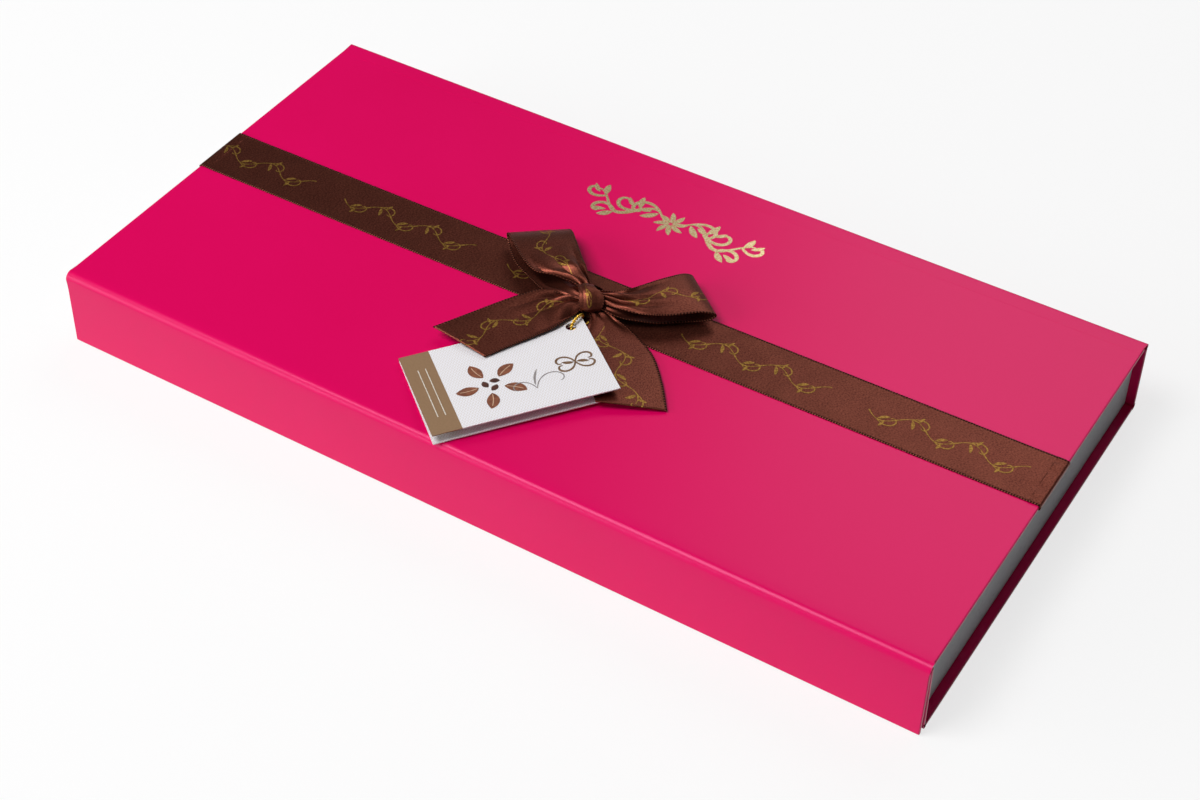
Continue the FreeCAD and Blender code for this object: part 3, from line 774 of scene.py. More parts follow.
band = Strip(band_sections, pleats=4, steps=8, columns=41)
cloth_piece(band, "ribbon_over_lid", "ribbon_band", "lid")

# %% [markdown]
# ## The bow
# Two loops and two tails leave the knot in four directions. Each loop runs out over the lid, folds back at
# its far end and returns underneath. Near the knot the ribbon is drawn in to a third of its width or less,
# so it stands in pleats there, which catch the light. Every section below is left edge, right edge, crown
# and pleat, in millimetres. Left and right are as seen from the knot.

# %% Lay the two loops
left_loop = Strip(
    [
        ((-1.6, -4.0, 39.2), (-0.6, -1.0, 39.8), 0.2, 0.5),
        ((-8.6, -0.8, 40.8), (-5.2, 3.8, 41.5), 0.6, 1.2),
        ((-16.7, -1.7, 41.4), (-9.5, 8.2, 41.9), 0.6, 1.1),
        ((-24.5, -3.3, 41.9), (-13.9, 12.4, 42.0), 0.5, 0.45),
        ((-33.0, 0.6, 42.0), (-19.4, 18.2, 41.2), 0.4, 0.05),
        ((-42.8, 8.2, 41.3), (-26.2, 25.2, 40.0), 0.2, 0.0),
        ((-48.4, 13.2, 38.4), (-29.9, 28.2, 37.6), 0.0, 0.0),
        ((-46.6, 11.2, 35.3), (-28.0, 26.6, 35.2), -0.2, 0.0),
        ((-39.4, 4.8, 34.2), (-22.4, 21.6, 34.2), 0.0, 0.0),
        ((-30.4, 0.2, 34.6), (-16.6, 16.4, 34.6), 0.0, 0.1),
        ((-20.6, -5.0, 36.7), (-11.2, 8.6, 37.6), 0.0, 0.3),
        ((-11.8, -6.6, 39.6), (-7.0, 1.8, 39.6), 0.0, 0.3),
        ((-2.6, -5.2, 39.2), (-1.2, -1.0, 38.8), 0.0, 0.3),
    ]
)
right_loop = Strip(
    [
        ((-2.2, 0.2, 40.0), (-0.8, -3.4, 39.2), 0.2, 0.5),
        ((3.6, 2.8, 40.9), (5.8, -2.8, 39.5), 0.6, 1.2),
        ((9.4, 5.8, 41.6), (13.0, -2.8, 39.7), 0.6, 1.1),
        ((12.6, 11.1, 41.5), (21.3, -0.8, 40.0), 0.5, 0.45),
        ((17.5, 19.3, 41.1), (28.9, 3.1, 40.1), 0.5, 0.1),
        ((21.5, 26.3, 40.0), (37.7, 11.1, 39.7), 0.3, 0.0),
        ((23.9, 29.4, 37.7), (42.4, 14.8, 37.9), 0.0, 0.0),
        ((20.8, 27.9, 35.4), (39.8, 13.2, 35.2), -0.2, 0.0),
        ((14.2, 23.4, 34.2), (32.6, 9.0, 34.3), 0.0, 0.0),
        ((10.0, 18.2, 34.5), (25.0, 2.2, 35.2), 0.0, 0.15),
        ((6.4, 11.4, 36.0), (17.2, -2.4, 36.5), 0.0, 0.55),
        ((3.8, 4.8, 37.4), (9.8, -4.6, 37.5), 0.0, 0.6),
        ((-0.4, 0.2, 38.0), (1.0, -4.0, 37.7), 0.0, 0.4),
    ],
    phase=0.5,
)
cloth_piece(left_loop, "left_loop", "bow_left_loop", "lid")
cloth_piece(right_loop, "right_loop", "bow_right_loop", "lid")

# %% [markdown]
# ## The tails
# The left tail lies over the tag and the right tail is tucked between its leaves. The right one rides on the
# tag, so it follows when the tag swings about the knot; the left one stays where it is laid.
# In a tied bow they run on from the loops. Here they are strips of their own, because the loops stay on the
# lid when the tag swings.

# %% Lay the two tails
left_tail = Strip(
    [
        ((0.2, -6.0, 38.2), (-3.4, -2.2, 39.6), 0.0, 0.5),
        ((-1.2, -10.4, 38.2), (-8.9, -2.6, 38.7), 0.2, 1.3),
        ((-2.6, -14.2, 37.9), (-15.2, -4.7, 38.5), 0.0, 1.2),
        ((-4.2, -21.0, 37.5), (-21.2, -9.3, 38.4), -0.6, 0.5),
        ((-7.9, -28.9, 37.1), (-28.2, -19.4, 37.8), -0.3, 0.05),
        ((-12.7, -37.9, 36.8), (-34.9, -31.0, 37.2), 0.2, 0.0),
        ((-17.2, -47.2, 36.5), (-42.3, -44.0, 36.7), 0.3, 0.0),
    ],
    phase=0.3,
    steps=14,
)
right_tail = Strip(
    [
        ((3.0, -2.6, 36.9), (-0.8, -6.2, 36.8), 0.0, 0.2),
        ((8.6, -3.0, 35.5), (3.0, -8.8, 35.8), 0.2, 0.35),
        ((15.6, -4.4, 34.4), (4.4, -15.4, 35.15), 0.2, 0.12),
        ((23.4, -7.4, 33.9), (6.0, -24.4, 35.3), 0.3, 0.0),
        ((32.4, -12.6, 33.7), (14.4, -31.2, 35.6), 0.3, 0.0),
        ((42.2, -22.8, 33.6), (22.6, -39.6, 35.9), 0.2, 0.0),
        ((50.8, -33.8, 33.4), (28.4, -45.4, 36.0), 0.1, 0.0),
    ],
    steps=14,
)
left_tail_piece = cloth_piece(left_tail, "left_tail", "bow_left_tail")
cloth_piece(right_tail, "right_tail", "bow_right_tail", "tag")

# %% [markdown]
# ## The knot
# The knot is a short turn of the same ribbon, folded narrow, that comes up behind the gathered loops, opens
# to a flat face over them and is tucked under in front. The whole width could be folded in layers, but only
# the outer layer shows, so 10.5 mm of it is laid. It sits a little askew, so its sections are given along
# its own two directions: how far ahead, how high, and where its two sides are.

# %% Wrap the knot
knot_low, knot_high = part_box("bow_knot")
KNOT_X, KNOT_Y = ((knot_low + knot_high) / 2 / MM).to_tuple()[:2]
KNOT_AHEAD = np.array((0.54, -0.84, 0.0))
KNOT_ASIDE = np.array((0.84, 0.54, 0.0))
KNOT_CROWN, KNOT_PLEAT = 0.5, 0.12
knot_path = [
    (-5.0, 33.6, -5.2, 5.2),
    (-5.6, 37.4, -5.2, 4.8),
    (-4.2, 41.0, -4.5, 1.6),
    (-2.2, 42.6, -4.4, 1.2),
    (0.4, 42.9, -4.3, 2.6),
    (2.6, 42.2, -4.3, 4.8),
    (4.6, 40.6, -4.3, 5.0),
    (5.9, 38.8, -4.2, 4.3),
    (5.7, 37.4, -3.8, 3.6),
    (4.2, 36.2, -3.8, 4.0),
    (3.0, 35.0, -3.8, 4.0),
]
knot_middle = np.array((KNOT_X - 0.2, KNOT_Y + 0.4, 0.0))
knot_sections = []
for ahead, z, left_side, right_side in knot_path:
    middle = knot_middle + KNOT_AHEAD * ahead + np.array((0, 0, z))
    edges = middle + KNOT_ASIDE * right_side, middle + KNOT_ASIDE * left_side
    knot_sections.append((*edges, KNOT_CROWN, KNOT_PLEAT))
knot = Strip(knot_sections, pleats=1.6, phase=0.4)
cloth_piece(knot, "knot_wrap", "bow_knot", "lid")

# %% [markdown]
# ## The tag
# A card folded once, with its fold along the far long edge. The two leaves keep their solids; the fold is
# remade as a strip that bends round from the back leaf to the front leaf. The card is white with a faint
# beige herringbone and a bronze band across its outer end. A UV map could give the distances along and
# across the leaf, but two dot products do so without one.

# %% Print the card
fold_start = Vector(joints["tag_open"]["pos_m"])
fold_along = -Vector(joints["tag_open"]["axis"]).normalized()
leaf_out = Vector((fold_along.y, -fold_along.x, 0)).normalized()
TAG_LENGTH = 68.7 * MM
BRONZE_BAND = 11.0 * MM
PRINT_BLUR = 0.05 * MM
HERRINGBONE = 1.1 * MM


def tag_card(name, printed):
    material, paint = new_finish(name)
    from_fold = paint.node("VectorMath", {0: paint.place(), 1: fold_start}, operation="SUBTRACT")
    along, across = (
        paint.node("VectorMath", {0: from_fold, 1: axis}, "Value", operation="DOT_PRODUCT")
        for axis in (fold_along, leaf_out)
    )
    pulp = paint.noise(1800, detail=3)
    rib = paint.math("PINGPONG", across, HERRINGBONE)
    stripe = paint.math("SINE", (along + rib) * (2 * math.pi / HERRINGBONE)).step(0.35, 0.75)
    colour = (stripe * 0.7 + pulp * 0.25).mix(srgb(240, 239, 245), srgb(216, 208, 203))
    sheen = 0.5 + pulp * 0.1
    if printed:
        inner_edge = TAG_LENGTH - BRONZE_BAND
        end = (0.0 - along).step(inner_edge - PRINT_BLUR, inner_edge + PRINT_BLUR)
        colour = end.mix(colour, pulp.mix(srgb(136, 106, 78), srgb(152, 122, 92)))
        sheen = sheen - end * 0.12
    paint.cover(
        Base_Color=colour,
        Roughness=sheen,
        Normal=paint.bump(pulp, depth=0.02 * MM),
        Specular_IOR_Level=0.4,
    )
    return material


front_card = tag_card("tag_front_card", printed=True)
dress(front_card, ["tag_front_leaf"])
dress(tag_card("tag_back_card", printed=False), ["tag_back_leaf"])
print("tag is", round(TAG_LENGTH / MM, 1), "mm long")

# %% Fold the card
LEAF_OPEN = math.radians(3.5)
FOLD_RADIUS = 0.8 * MM
FOLD_INNER_RADIUS = 0.4 * MM
fold_up = fold_along.cross(-leaf_out)


def fold_strip(name):
    """The bent card of the fold, from the back leaf round to the front leaf."""
    bend = np.linspace(-math.pi / 2, math.pi / 2 - LEAF_OPEN, 15)
    rows = []
    for along in np.linspace(-TAG_LENGTH, 0, 31):
        ring = []
        for radius, angles in ((FOLD_RADIUS, bend), (FOLD_INNER_RADIUS, bend[::-1])):
            for angle in angles:
                turned = -leaf_out * math.cos(angle) + fold_up * math.sin(angle)
                ring.append(fold_start + fold_along * along + turned * radius)
        rows.append(ring)
    return ring_mesh(name, rows)


def lift_with_leaf(piece):
    """Bakes the piece's placing into its mesh."""
    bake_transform(piece)


fold_mesh = fold_strip("tag_fold_card")
fold_piece = new_piece("tag_fold_card", fold_mesh, front_card, sharp=50, node="tag_fold")
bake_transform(fold_piece)
lift_with_leaf(left_tail_piece)
print("tag fold runs", [round(c, 3) for c in fold_along])

# %% [markdown]
# ## Twisted cord
# A thin gold cord rings the foot of the knot, comes up over the tag, goes down through its hole and is tied
# underneath. Its line is a NURBS curve whose control points are those of the solid's route. Two strands are
# then wound about that line, which gives the rope look that a plain tube lacks.

# %% Spin the thread
def gold_thread():
    material, paint = new_finish("gold_thread")
    glint = paint.noise(3500)
    paint.cover(
        Base_Color=glint.mix(srgb(214, 150, 22), srgb(255, 224, 104)),
        Roughness=0.2 + glint * 0.25,
        Normal=paint.bump(glint, depth=0.06 * MM),
        Metallic=0.9,
    )
    return material


def smooth_route(points):
    """Points along the NURBS curve that has the given points as its control points."""
    data = bpy.data.curves.new("cord_line", "CURVE")
    data.dimensions = "3D"
    data.resolution_u = 24
    spline = data.splines.new("NURBS")
    spline.points.add(len(points) - 1)
    for control, point in zip(spline.points, points):
        control.co = (*point, 1.0)
    spline.order_u = 3
    spline.use_endpoint_u = True
    line = bpy.data.objects.new("cord_line", data)
    mesh = bpy.data.meshes.new_from_object(line)
    laid = np.array([vertex.co for vertex in mesh.vertices])
    bpy.data.objects.remove(line)
    bpy.data.meshes.remove(mesh)
    return laid


def strand(name, line, radius, offset=0.0, pitch=1.0, start=0.0, sides=8):
    """A tube along a line, or wound about it at an offset with one turn per pitch."""
    along = unit(np.gradient(line, axis=0))
    side = unit(np.cross(along[0], (0.3, 0.2, 1.0)))
    corners = np.arange(sides) * 2 * math.pi / sides
    rows = []
    for point, ahead, distance in zip(line, along, distances(line)):
        side = unit(side - ahead * (side @ ahead))
        other = np.cross(ahead, side)
        turn = 2 * math.pi * distance / pitch + start
        centre = point + offset * (side * math.cos(turn) + other * math.sin(turn))
        rows.append([centre + radius * (side * math.cos(a) + other * math.sin(a)) for a in corners])
    return ring_mesh(name, rows)


gold = gold_thread()
print("thread:", gold.name)

# %% Twist and tie the cord
STRAND_RADIUS = 0.36 * MM
STRAND_OFFSET = 0.31 * MM
STRAND_PITCH = 2.6 * MM
TIE_SIZE = 0.24 * MM
TIE_RADIUS = 0.38 * MM
CORD_ROUTE = [
    (0.9, -14.5, 0.6),
    (1.9, -10.6, 0.6),
    (3.6, -6.9, 0.6),
    (5.5, -3.2, 0.6),
    (5.9, 1.0, 0.6),
    (3.7, 4.6, 0.6),
    (-0.3, 5.9, 0.6),
    (-4.2, 4.3, 0.6),
    (-6.0, 0.5, 0.6),
    (-4.9, -3.6, 0.6),
    (-2.4, -5.7, 0.6),
    (-0.3, -6.1, 0.7),
    (0.9, -6.4, 2.2),
    (1.2, -7.4, 4.0),
    (1.3, -9.6, 5.1),
    (1.1, -12.2, 5.0),
    (0.95, -14.2, 3.9),
    (0.85, -14.7, 2.3),
    (0.85, -14.6, 1.2),
]


def trefoil(size, middle):
    """The line of an overhand knot."""
    turn = np.linspace(0, 2 * math.pi, 61)
    x = np.sin(turn) + 2 * np.sin(2 * turn)
    y = np.cos(turn) - 2 * np.cos(2 * turn)
    return np.stack([x, y, -np.sin(3 * turn)], -1) * size + np.array(middle)


cord_foot = Vector((KNOT_X, KNOT_Y, BAND_TOP)) * MM
cord_line = smooth_route([cord_foot + Vector(point) * MM for point in CORD_ROUTE])
strands = [
    strand("strand", cord_line, STRAND_RADIUS, STRAND_OFFSET, STRAND_PITCH, start) for start in (0, math.pi)
]
cord_mesh = joined("twisted_cord", strands)
cord_piece = new_piece("twisted_cord", cord_mesh, gold, node="tag_cord")
tie_low, tie_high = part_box("tag_cord_knot")
tie_mesh = strand("cord_tie", trefoil(TIE_SIZE, (tie_low + tie_high) / 2), TIE_RADIUS)
tie_piece = new_piece("cord_tie", tie_mesh, gold, body="tag", node="tag_cord_knot")
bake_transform(cord_piece)

# %% [markdown]
# ## Printed gold
# The ribbon, the lid and the tag carry printed ornament: a trailing vine in gold ink on the ribbon, a foil
# flourish on the lid. A texture could hold them, but drawn strokes stay sharp at any distance. A stroke is
# a line of places with a width at each, like a pen's, and it is laid as a thin film on the surface below.
# Where strokes cross, each lies a few microns over the last, because two faces in one plane would render
# black.

# %% Pen strokes and ink
INK_LIFT = 0.04 * MM
INK_LAYERS = 9
INK_STEP = 0.004 * MM
CURL_PLACES, LEAF_PLACES = 26, 12


def pen(points, widths):
    """One stroke: places in millimetres with a pen width at each."""
    return np.column_stack([points, widths]) * MM


def curl(start, heading, length, turn, width):
    """A tendril that leaves at a heading and winds up, growing thinner, through the given turn in radians."""
    share = np.linspace(0, 1, CURL_PLACES)
    angle = heading + turn * share**1.35
    reach = (1 - 0.78 * share) * length / 14
    points = np.array(start) + np.vstack([[0, 0], np.cumsum(around(angle, reach), axis=0)[:-1]])
    return pen(points, width * (0.35 + 0.65 * np.sin(math.pi * (0.15 + 0.8 * share))))


def leaf(start, heading, length, width):
    """A pointed leaf, drawn as one swelling stroke with a slight bend."""
    share = np.linspace(0, 1, LEAF_PLACES)
    angle = heading + 0.5 * share
    points = np.array(start) + np.cumsum(around(angle, length / (LEAF_PLACES - 1)), axis=0)
    return pen(points, 0.08 + width * np.sin(math.pi * share) ** 0.8)


def ink(strokes, place):
    """A film for the strokes, where place turns (along, across, lift) into points of the surface."""
    films = []
    for k, line in enumerate(strokes):
        ahead = unit(np.gradient(line[:, :2], axis=0))
        side = np.stack([-ahead[:, 1], ahead[:, 0]], -1) * line[:, 2:] / 2
        edges = np.stack([line[:, :2] + side, line[:, :2] - side], 1)
        laid = place(edges[..., 0].ravel(), edges[..., 1].ravel(), INK_LIFT + k % INK_LAYERS * INK_STEP)
        films.append(grid_mesh("stroke", laid.reshape(-1, 2, 3)))
    return joined("ink", films)


def printing_ink(name, deep, bright, roughness, metallic=0.0, grain=700, mottle=0.1):
    material, paint = new_finish(name)
    speck = paint.noise(grain, detail=3)
    tone = speck.step(0.3, 0.7).mix(deep, bright)
    paint.cover(Base_Color=tone, Roughness=roughness + speck * mottle, Metallic=metallic)
    return material


gold_specks = {"grain": 1500, "mottle": 0.12}
ribbon_gold = printing_ink(
    "ribbon_gold", srgb(124, 88, 36), srgb(182, 140, 66), roughness=0.42, metallic=0.85, **gold_specks
)
foil_gold = printing_ink(
    "lid_foil", srgb(222, 188, 124), srgb(255, 234, 188), roughness=0.16, metallic=0.66, **gold_specks
)
print("a tendril has", len(curl((0, 0), 0, 8, 5, 0.5)), "places")

# %% [markdown]
# ## Vine on the ribbon
# The vine runs in sprays with a gap after each, as prints on ribbon do: about 60 mm each on the band and
# shorter on the bow. Each spray is a waving stem with a tendril and two leaves at every bend. An array could
# repeat one spray, but each has to follow the folds of its own strip.

# %% Print the ribbon
WAVE = 22.0
SWING = 3.0
SPRAY_LENGTH, SPRAY_PITCH = 60, 76
FIRST_SPRAY, ROOM_FOR_LAST = 18, 66


def spray(start, length):
    """The strokes of one spray of vine along the ribbon, in millimetres from its left edge."""
    run = np.linspace(0, length, int(length * 2.5))
    stem_width = 0.3 + 0.28 * np.cos(2 * math.pi * run / WAVE * 2) ** 2
    stem = np.stack([start + run, HALF_RIBBON + SWING * np.sin(2 * math.pi * run / WAVE)], -1)
    strokes = [pen(stem, stem_width)]
    for k, bend in enumerate(np.arange(WAVE * 0.2, length - 2, WAVE / 2)):
        side = 1 if k % 2 == 0 else -1
        foot = (start + bend, HALF_RIBBON + SWING * math.sin(2 * math.pi * bend / WAVE))
        bud = (foot[0] + 2.6, foot[1] - side * 0.6)
        strokes.append(curl(foot, side * 0.6, length=11.0, turn=-side * 5.2, width=0.55))
        strokes.append(leaf(foot, -side * 0.9, length=4.6, width=1.3))
        strokes.append(leaf(bud, side * 1.5, length=3.4, width=1.0))
    return strokes


def print_ribbon(strip, name, sprays, body=None):
    def surface(along, across, lift):
        return strip.at(along, across, lift + RIBBON_THICK / 2)

    strokes = [stroke for start, length in sprays for stroke in spray(start, length)]
    return new_piece(name, ink(strokes, surface), ribbon_gold, body=body)


spray_starts = np.arange(FIRST_SPRAY, band.run[-1] / MM - ROOM_FOR_LAST, SPRAY_PITCH)
print_ribbon(band, "ribbon_print", [(start, SPRAY_LENGTH) for start in spray_starts], "lid")
print_ribbon(left_loop, "left_loop_print", [(13, 30), (58, 30)], "lid")
print_ribbon(right_loop, "right_loop_print", [(11, 30), (56, 28)], "lid")
lift_with_leaf(print_ribbon(left_tail, "left_tail_print", [(7, 42)]))
print_ribbon(knot, "knot_print", [(9, 11)], "lid")
print_ribbon(right_tail, "right_tail_print", [(10, 42)], "tag")
print("sprays on the band:", len(spray_starts))

# %% [markdown]
# ## Foil on the lid
# A flourish is stamped in bright foil behind the bow: two mirrored scrolls that meet at a small flower. The
# stamp also dents the paper, which bump could show, but such a dent is very shallow. So the foil is only a
# film, like the ink on the ribbon.

# %% Stamp the flourish
FOIL_MIDDLE = (-2.0, 57.0)
SCROLL_LENGTH, SCROLL_SWING, SCROLL_WAVES = 32, 4.6, 1.25
PETALS = 8
LID_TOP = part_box("lid_wrap")[1].z


def mirrored(strokes, middle):
    """The strokes and their mirror images about a line across the middle."""
    flip = np.array([-1, 1, 1])
    shift = np.array([2 * middle * MM, 0, 0])
    return strokes + [stroke * flip + shift for stroke in strokes]


def scroll(x, y):
    """A waving stem that starts 3 mm to the right of a place, with a tendril and two leaves at each bend."""

    def stem(share):
        return x + 3 + SCROLL_LENGTH * share, y + SCROLL_SWING * np.sin(2 * math.pi * share * SCROLL_WAVES)

    run = np.linspace(0, 1, 60)
    strokes = [pen(np.stack(stem(run), -1), 0.7 + 1.1 * np.sin(math.pi * run) ** 2)]
    for share, side in ((0.12, 1), (0.36, -1), (0.62, 1), (0.86, -1)):
        foot = stem(share)
        bud = (foot[0] + 3, foot[1] - side * 0.4)
        strokes.append(curl(foot, side * 0.7, length=19 - 7 * share, turn=-side * 5.4, width=1.6))
        strokes.append(leaf(foot, -side * 1.0, length=8.0 - 2 * share, width=2.6))
        strokes.append(leaf(bud, -side * 0.5, length=5.6, width=1.8))
    return strokes


def lid_face(along, across, lift):
    return np.stack([along, across, np.full_like(along, LID_TOP + lift)], -1)


foil_strokes = mirrored(scroll(*FOIL_MIDDLE), FOIL_MIDDLE[0])
for petal in range(PETALS):
    heading = petal * 2 * math.pi / PETALS + 0.15
    foil_strokes.append(leaf(FOIL_MIDDLE, heading, length=6.4, width=2.1))
new_piece("lid_flourish", ink(foil_strokes, lid_face), foil_gold, body="lid")
print("foil strokes:", len(foil_strokes))

# %% [markdown]
# ## Print on the tag
# The card carries a sprig of cocoa leaves with beans in brown inks, a grey pen flourish and a small bronze
# ornament by the hole, and two pale rules on the bronze band. The card's own material could draw them, but
# pen strokes are already at hand. The front leaf stands open by a few degrees, so its own axes carry them.

# %% Draw the ornament
SPRIG_X, SPRIG_Y = 27, 26
PEN_FOOT = (41.5, 34)
ORNAMENT_FOOT = (58.5, 25)


def round_sprig(reach, angles, lean, length, width):
    """Leaves that stand round the middle of the sprig."""
    return [
        leaf((SPRIG_X + reach * math.cos(a), SPRIG_Y + reach * math.sin(a)), a + lean, length, width)
        for a in angles
    ]


sprig = round_sprig(4, np.arange(5) * 1.2566 + 0.6, lean=-0.25, length=8.6, width=4.6)
beans = round_sprig(2, (0.2, 2.3, 4.4), lean=1.9, length=3.8, width=2.4)
veins = [pen(stroke[1:-2, :2] / MM, np.full(len(stroke) - 3, 0.3)) for stroke in sprig]
grey_pen = [
    curl(PEN_FOOT, -1.2, length=17, turn=4.6, width=0.5),
    curl(PEN_FOOT, -1.9, length=13, turn=-5.0, width=0.5),
    leaf((41.4, 33), -1.5, length=9, width=0.8),
]
wings = [curl(ORNAMENT_FOOT, side * 1.2, length=11, turn=-side * 5.2, width=0.9) for side in (1, -1)]
ornament = mirrored(wings, ORNAMENT_FOOT[0])
ornament += [leaf(ORNAMENT_FOOT, heading, length=4.6, width=1.4) for heading in (0, math.pi)]
rule_run = np.linspace(9, 36, 9)
pale_rules = [pen(np.stack([np.full(9, x), rule_run], -1), np.full(9, 0.35)) for x in (4.6, 7.4)]
print("strokes on the tag:", len(sprig + beans + veins + grey_pen + ornament + pale_rules))

# %% Print the tag
leaf_ahead = np.array(leaf_out * math.cos(LEAF_OPEN) + fold_up * math.sin(LEAF_OPEN))
leaf_up = np.array(fold_up * math.cos(LEAF_OPEN) - leaf_out * math.sin(LEAF_OPEN))
OVERPRINT = 0.04 * MM


def tag_print(name, strokes, material, over):
    """Strokes on the tag's face, lifted over an earlier print where they cross it."""

    def face(along, across, lift):
        """Along runs from the outer end of the tag towards the hole, across from the fold."""
        spot = np.array(fold_start) + (along - TAG_LENGTH)[:, None] * np.array(fold_along)
        return spot + across[:, None] * leaf_ahead + (FOLD_RADIUS + lift + over) * leaf_up

    new_piece(name, ink(strokes, face), material, body="tag_leaf")


for name, strokes, over, ink_name, deep, bright, roughness in (
    ("tag_sprig", sprig, 0.0, "cocoa_leaf_ink", srgb(112, 62, 42), srgb(142, 84, 58), 0.45),
    ("tag_veins", veins, OVERPRINT, "vein_ink", srgb(196, 160, 132), srgb(214, 182, 154), 0.45),
    ("tag_beans", beans, 0.0, "cocoa_bean_ink", srgb(60, 30, 24), srgb(84, 44, 32), 0.45),
    ("tag_flourish", grey_pen, 0.0, "grey_ink", srgb(132, 124, 124), srgb(152, 144, 142), 0.45),
    ("tag_ornament", ornament, 0.0, "bronze_ink", srgb(104, 76, 54), srgb(128, 98, 70), 0.35),
    ("tag_rules", pale_rules, 0.0, "pale_ink", srgb(206, 196, 182), srgb(222, 214, 202), 0.45),
):
    tag_print(name, strokes, printing_ink(ink_name, deep, bright, roughness), over)
print("front leaf of the tag stands open", round(math.degrees(LEAF_OPEN), 1), "degrees")

# %% [markdown]
# ## Paper cups
# Under the lid each chocolate stands in a cup pressed from a round of brown paper, whose wall is thrown
# into fine pleats. Cloth could be crushed into a mould, but the press makes even pleats. So a cup is a ring
# of points that steps in and out, drawn up row by row and wider at the rim. Each row below is a share of the
# height with a share of the pleats' depth.

# %% Pleat the cups
COLUMNS, ROWS = 8, 4
PLEATS = 34
PLEAT_DEPTH = 0.85 * MM
CUP_FLARE = 3.0 * MM
CUP_THICK = 0.12 * MM
RIM_CLEARANCE = 0.1 * MM
CUP_ROWS = ((0.0, 0.0), (0.02, 0.5), (0.3, 0.8), (0.65, 1.0), (1.0, 1.0))
shuffle = random.Random(7)
floor_low = Vector((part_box("tray_left_wall")[1].x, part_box("tray_front_wall")[1].y))
floor_high = Vector((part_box("tray_right_wall")[0].x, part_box("tray_back_wall")[0].y))
pitch_x = (floor_high.x - floor_low.x) / COLUMNS
pitch_y = (floor_high.y - floor_low.y) / ROWS
cells = [
    (column, row, floor_low.x + pitch_x * (column + 0.5), floor_low.y + pitch_y * (row + 0.5))
    for row in range(ROWS)
    for column in range(COLUMNS)
]


def half_size(node):
    """Half the length and width, and the height, of one of the like pieces that stand in the cells."""
    low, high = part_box(node)
    return cells[0][2] - low.x, cells[0][3] - low.y, high.z - low.z


def pleated_cup(rim, height, foot):
    turns = np.arange(2 * PLEATS) * math.pi / PLEATS + shuffle.random()
    inward = np.arange(2 * PLEATS) % 2
    rows = []
    for share, depth in CUP_ROWS:
        radius = rim - CUP_FLARE * (1 - share) - inward * depth * PLEAT_DEPTH
        rows.append((around(turns, radius), height * share))
    return ring_mesh("cup", stacked(rows) + np.array(foot), top=False)


cup_rim, _, cup_height = half_size("paper_cups")
cup_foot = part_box("paper_cups")[0].z + CUP_THICK
cup_meshes = [
    pleated_cup(cup_rim - RIM_CLEARANCE, cup_height - 2 * RIM_CLEARANCE, (x, y, cup_foot))
    for column, row, x, y in cells
]
cup_mesh = joined("pleated_cups", cup_meshes)
cups = new_piece("pleated_cups", cup_mesh, cup_paper, sharp=20, body="case", node="paper_cups")
thicken(cups, CUP_THICK)
print(len(cells), "cups of", PLEATS, "pleats")

# %% [markdown]
# ## Chocolates
# Four kinds fill the tray in turn: a square with a zigzag of white chocolate, a dark bar strewn with
# chopped nuts, a white oval with dark threads, and a swirled rosette. Set chocolate has soft clouds of
# tone, and here and there a dull bloom. Each kind could have a finish of its own, but one function with two
# noises serves them all.

# %% Melt the chocolates
def chocolate(name, deep, bright, roughness):
    material, paint = new_finish(name)
    cloud = paint.noise(140, detail=3)
    bloom = paint.noise(900, detail=3).step(0.55, 0.8)
    paint.cover(
        Base_Color=(cloud * 0.8 + bloom * 0.2).mix(deep, bright),
        Roughness=roughness + bloom * 0.12,
        Normal=paint.bump(cloud + bloom * 0.2, depth=0.1 * MM),
        Specular_IOR_Level=0.45,
    )
    return material


milk = chocolate("milk_chocolate", srgb(98, 52, 32), srgb(124, 70, 44), 0.3)
dark = chocolate("dark_chocolate", srgb(48, 24, 17), srgb(66, 34, 24), 0.28)
white = chocolate("white_chocolate", srgb(226, 208, 172), srgb(240, 226, 196), 0.34)
chopped_nut = chocolate("chopped_nut", srgb(176, 118, 62), srgb(214, 164, 104), 0.55)
print("chocolates:", milk.name, dark.name, white.name)

# %% [markdown]
# ## Moulds
# A mould gives each kind its form: a block with round corners and edges, the upper part of an egg, or a
# lobed swirl. Each is a stack of outlines from its foot to its crown. A subdivided cube could do for the
# block, but the stack serves all three.

# %% Carve the moulds
FOOT_INSET = 0.3 * MM
FOOT_RISE = 0.4 * MM
LEAST_CORNER = 0.6 * MM
LOBES = 8


def rounded_outline(half_x, half_y, corner):
    """A rectangle with round corners, as 48 points."""
    turns = np.linspace(0, math.pi / 2, 12)
    points = []
    for k, (side_x, side_y) in enumerate(((1, 1), (-1, 1), (-1, -1), (1, -1))):
        middle = np.array((side_x * (half_x - corner), side_y * (half_y - corner)))
        points.append(middle + around(turns + k * math.pi / 2, corner))
    return np.vstack(points)


def block(half_x, half_y, height, corner, round_top):
    rows = [
        (rounded_outline(half_x - FOOT_INSET, half_y - FOOT_INSET, corner), 0),
        (rounded_outline(half_x, half_y, corner), FOOT_RISE),
    ]
    for angle in np.linspace(0, math.pi / 2, 7):
        inset = round_top * (1 - math.cos(angle))
        outline = rounded_outline(half_x - inset, half_y - inset, max(corner - inset, LEAST_CORNER))
        rows.append((outline, height - round_top * (1 - math.sin(angle))))
    return stacked(rows)


def egg(half_x, half_y, height, sunk):
    """The part of an ellipsoid above its sunken foot."""
    ring = np.arange(48) * math.pi / 24
    half_z = (height + sunk) / 2
    rows = []
    for angle in np.linspace(math.asin((sunk - half_z) / half_z), 1.5, 14):
        outline = around(ring, half_x * math.cos(angle), half_y * math.cos(angle))
        rows.append((outline, half_z * math.sin(angle) + half_z - sunk))
    return stacked(rows)


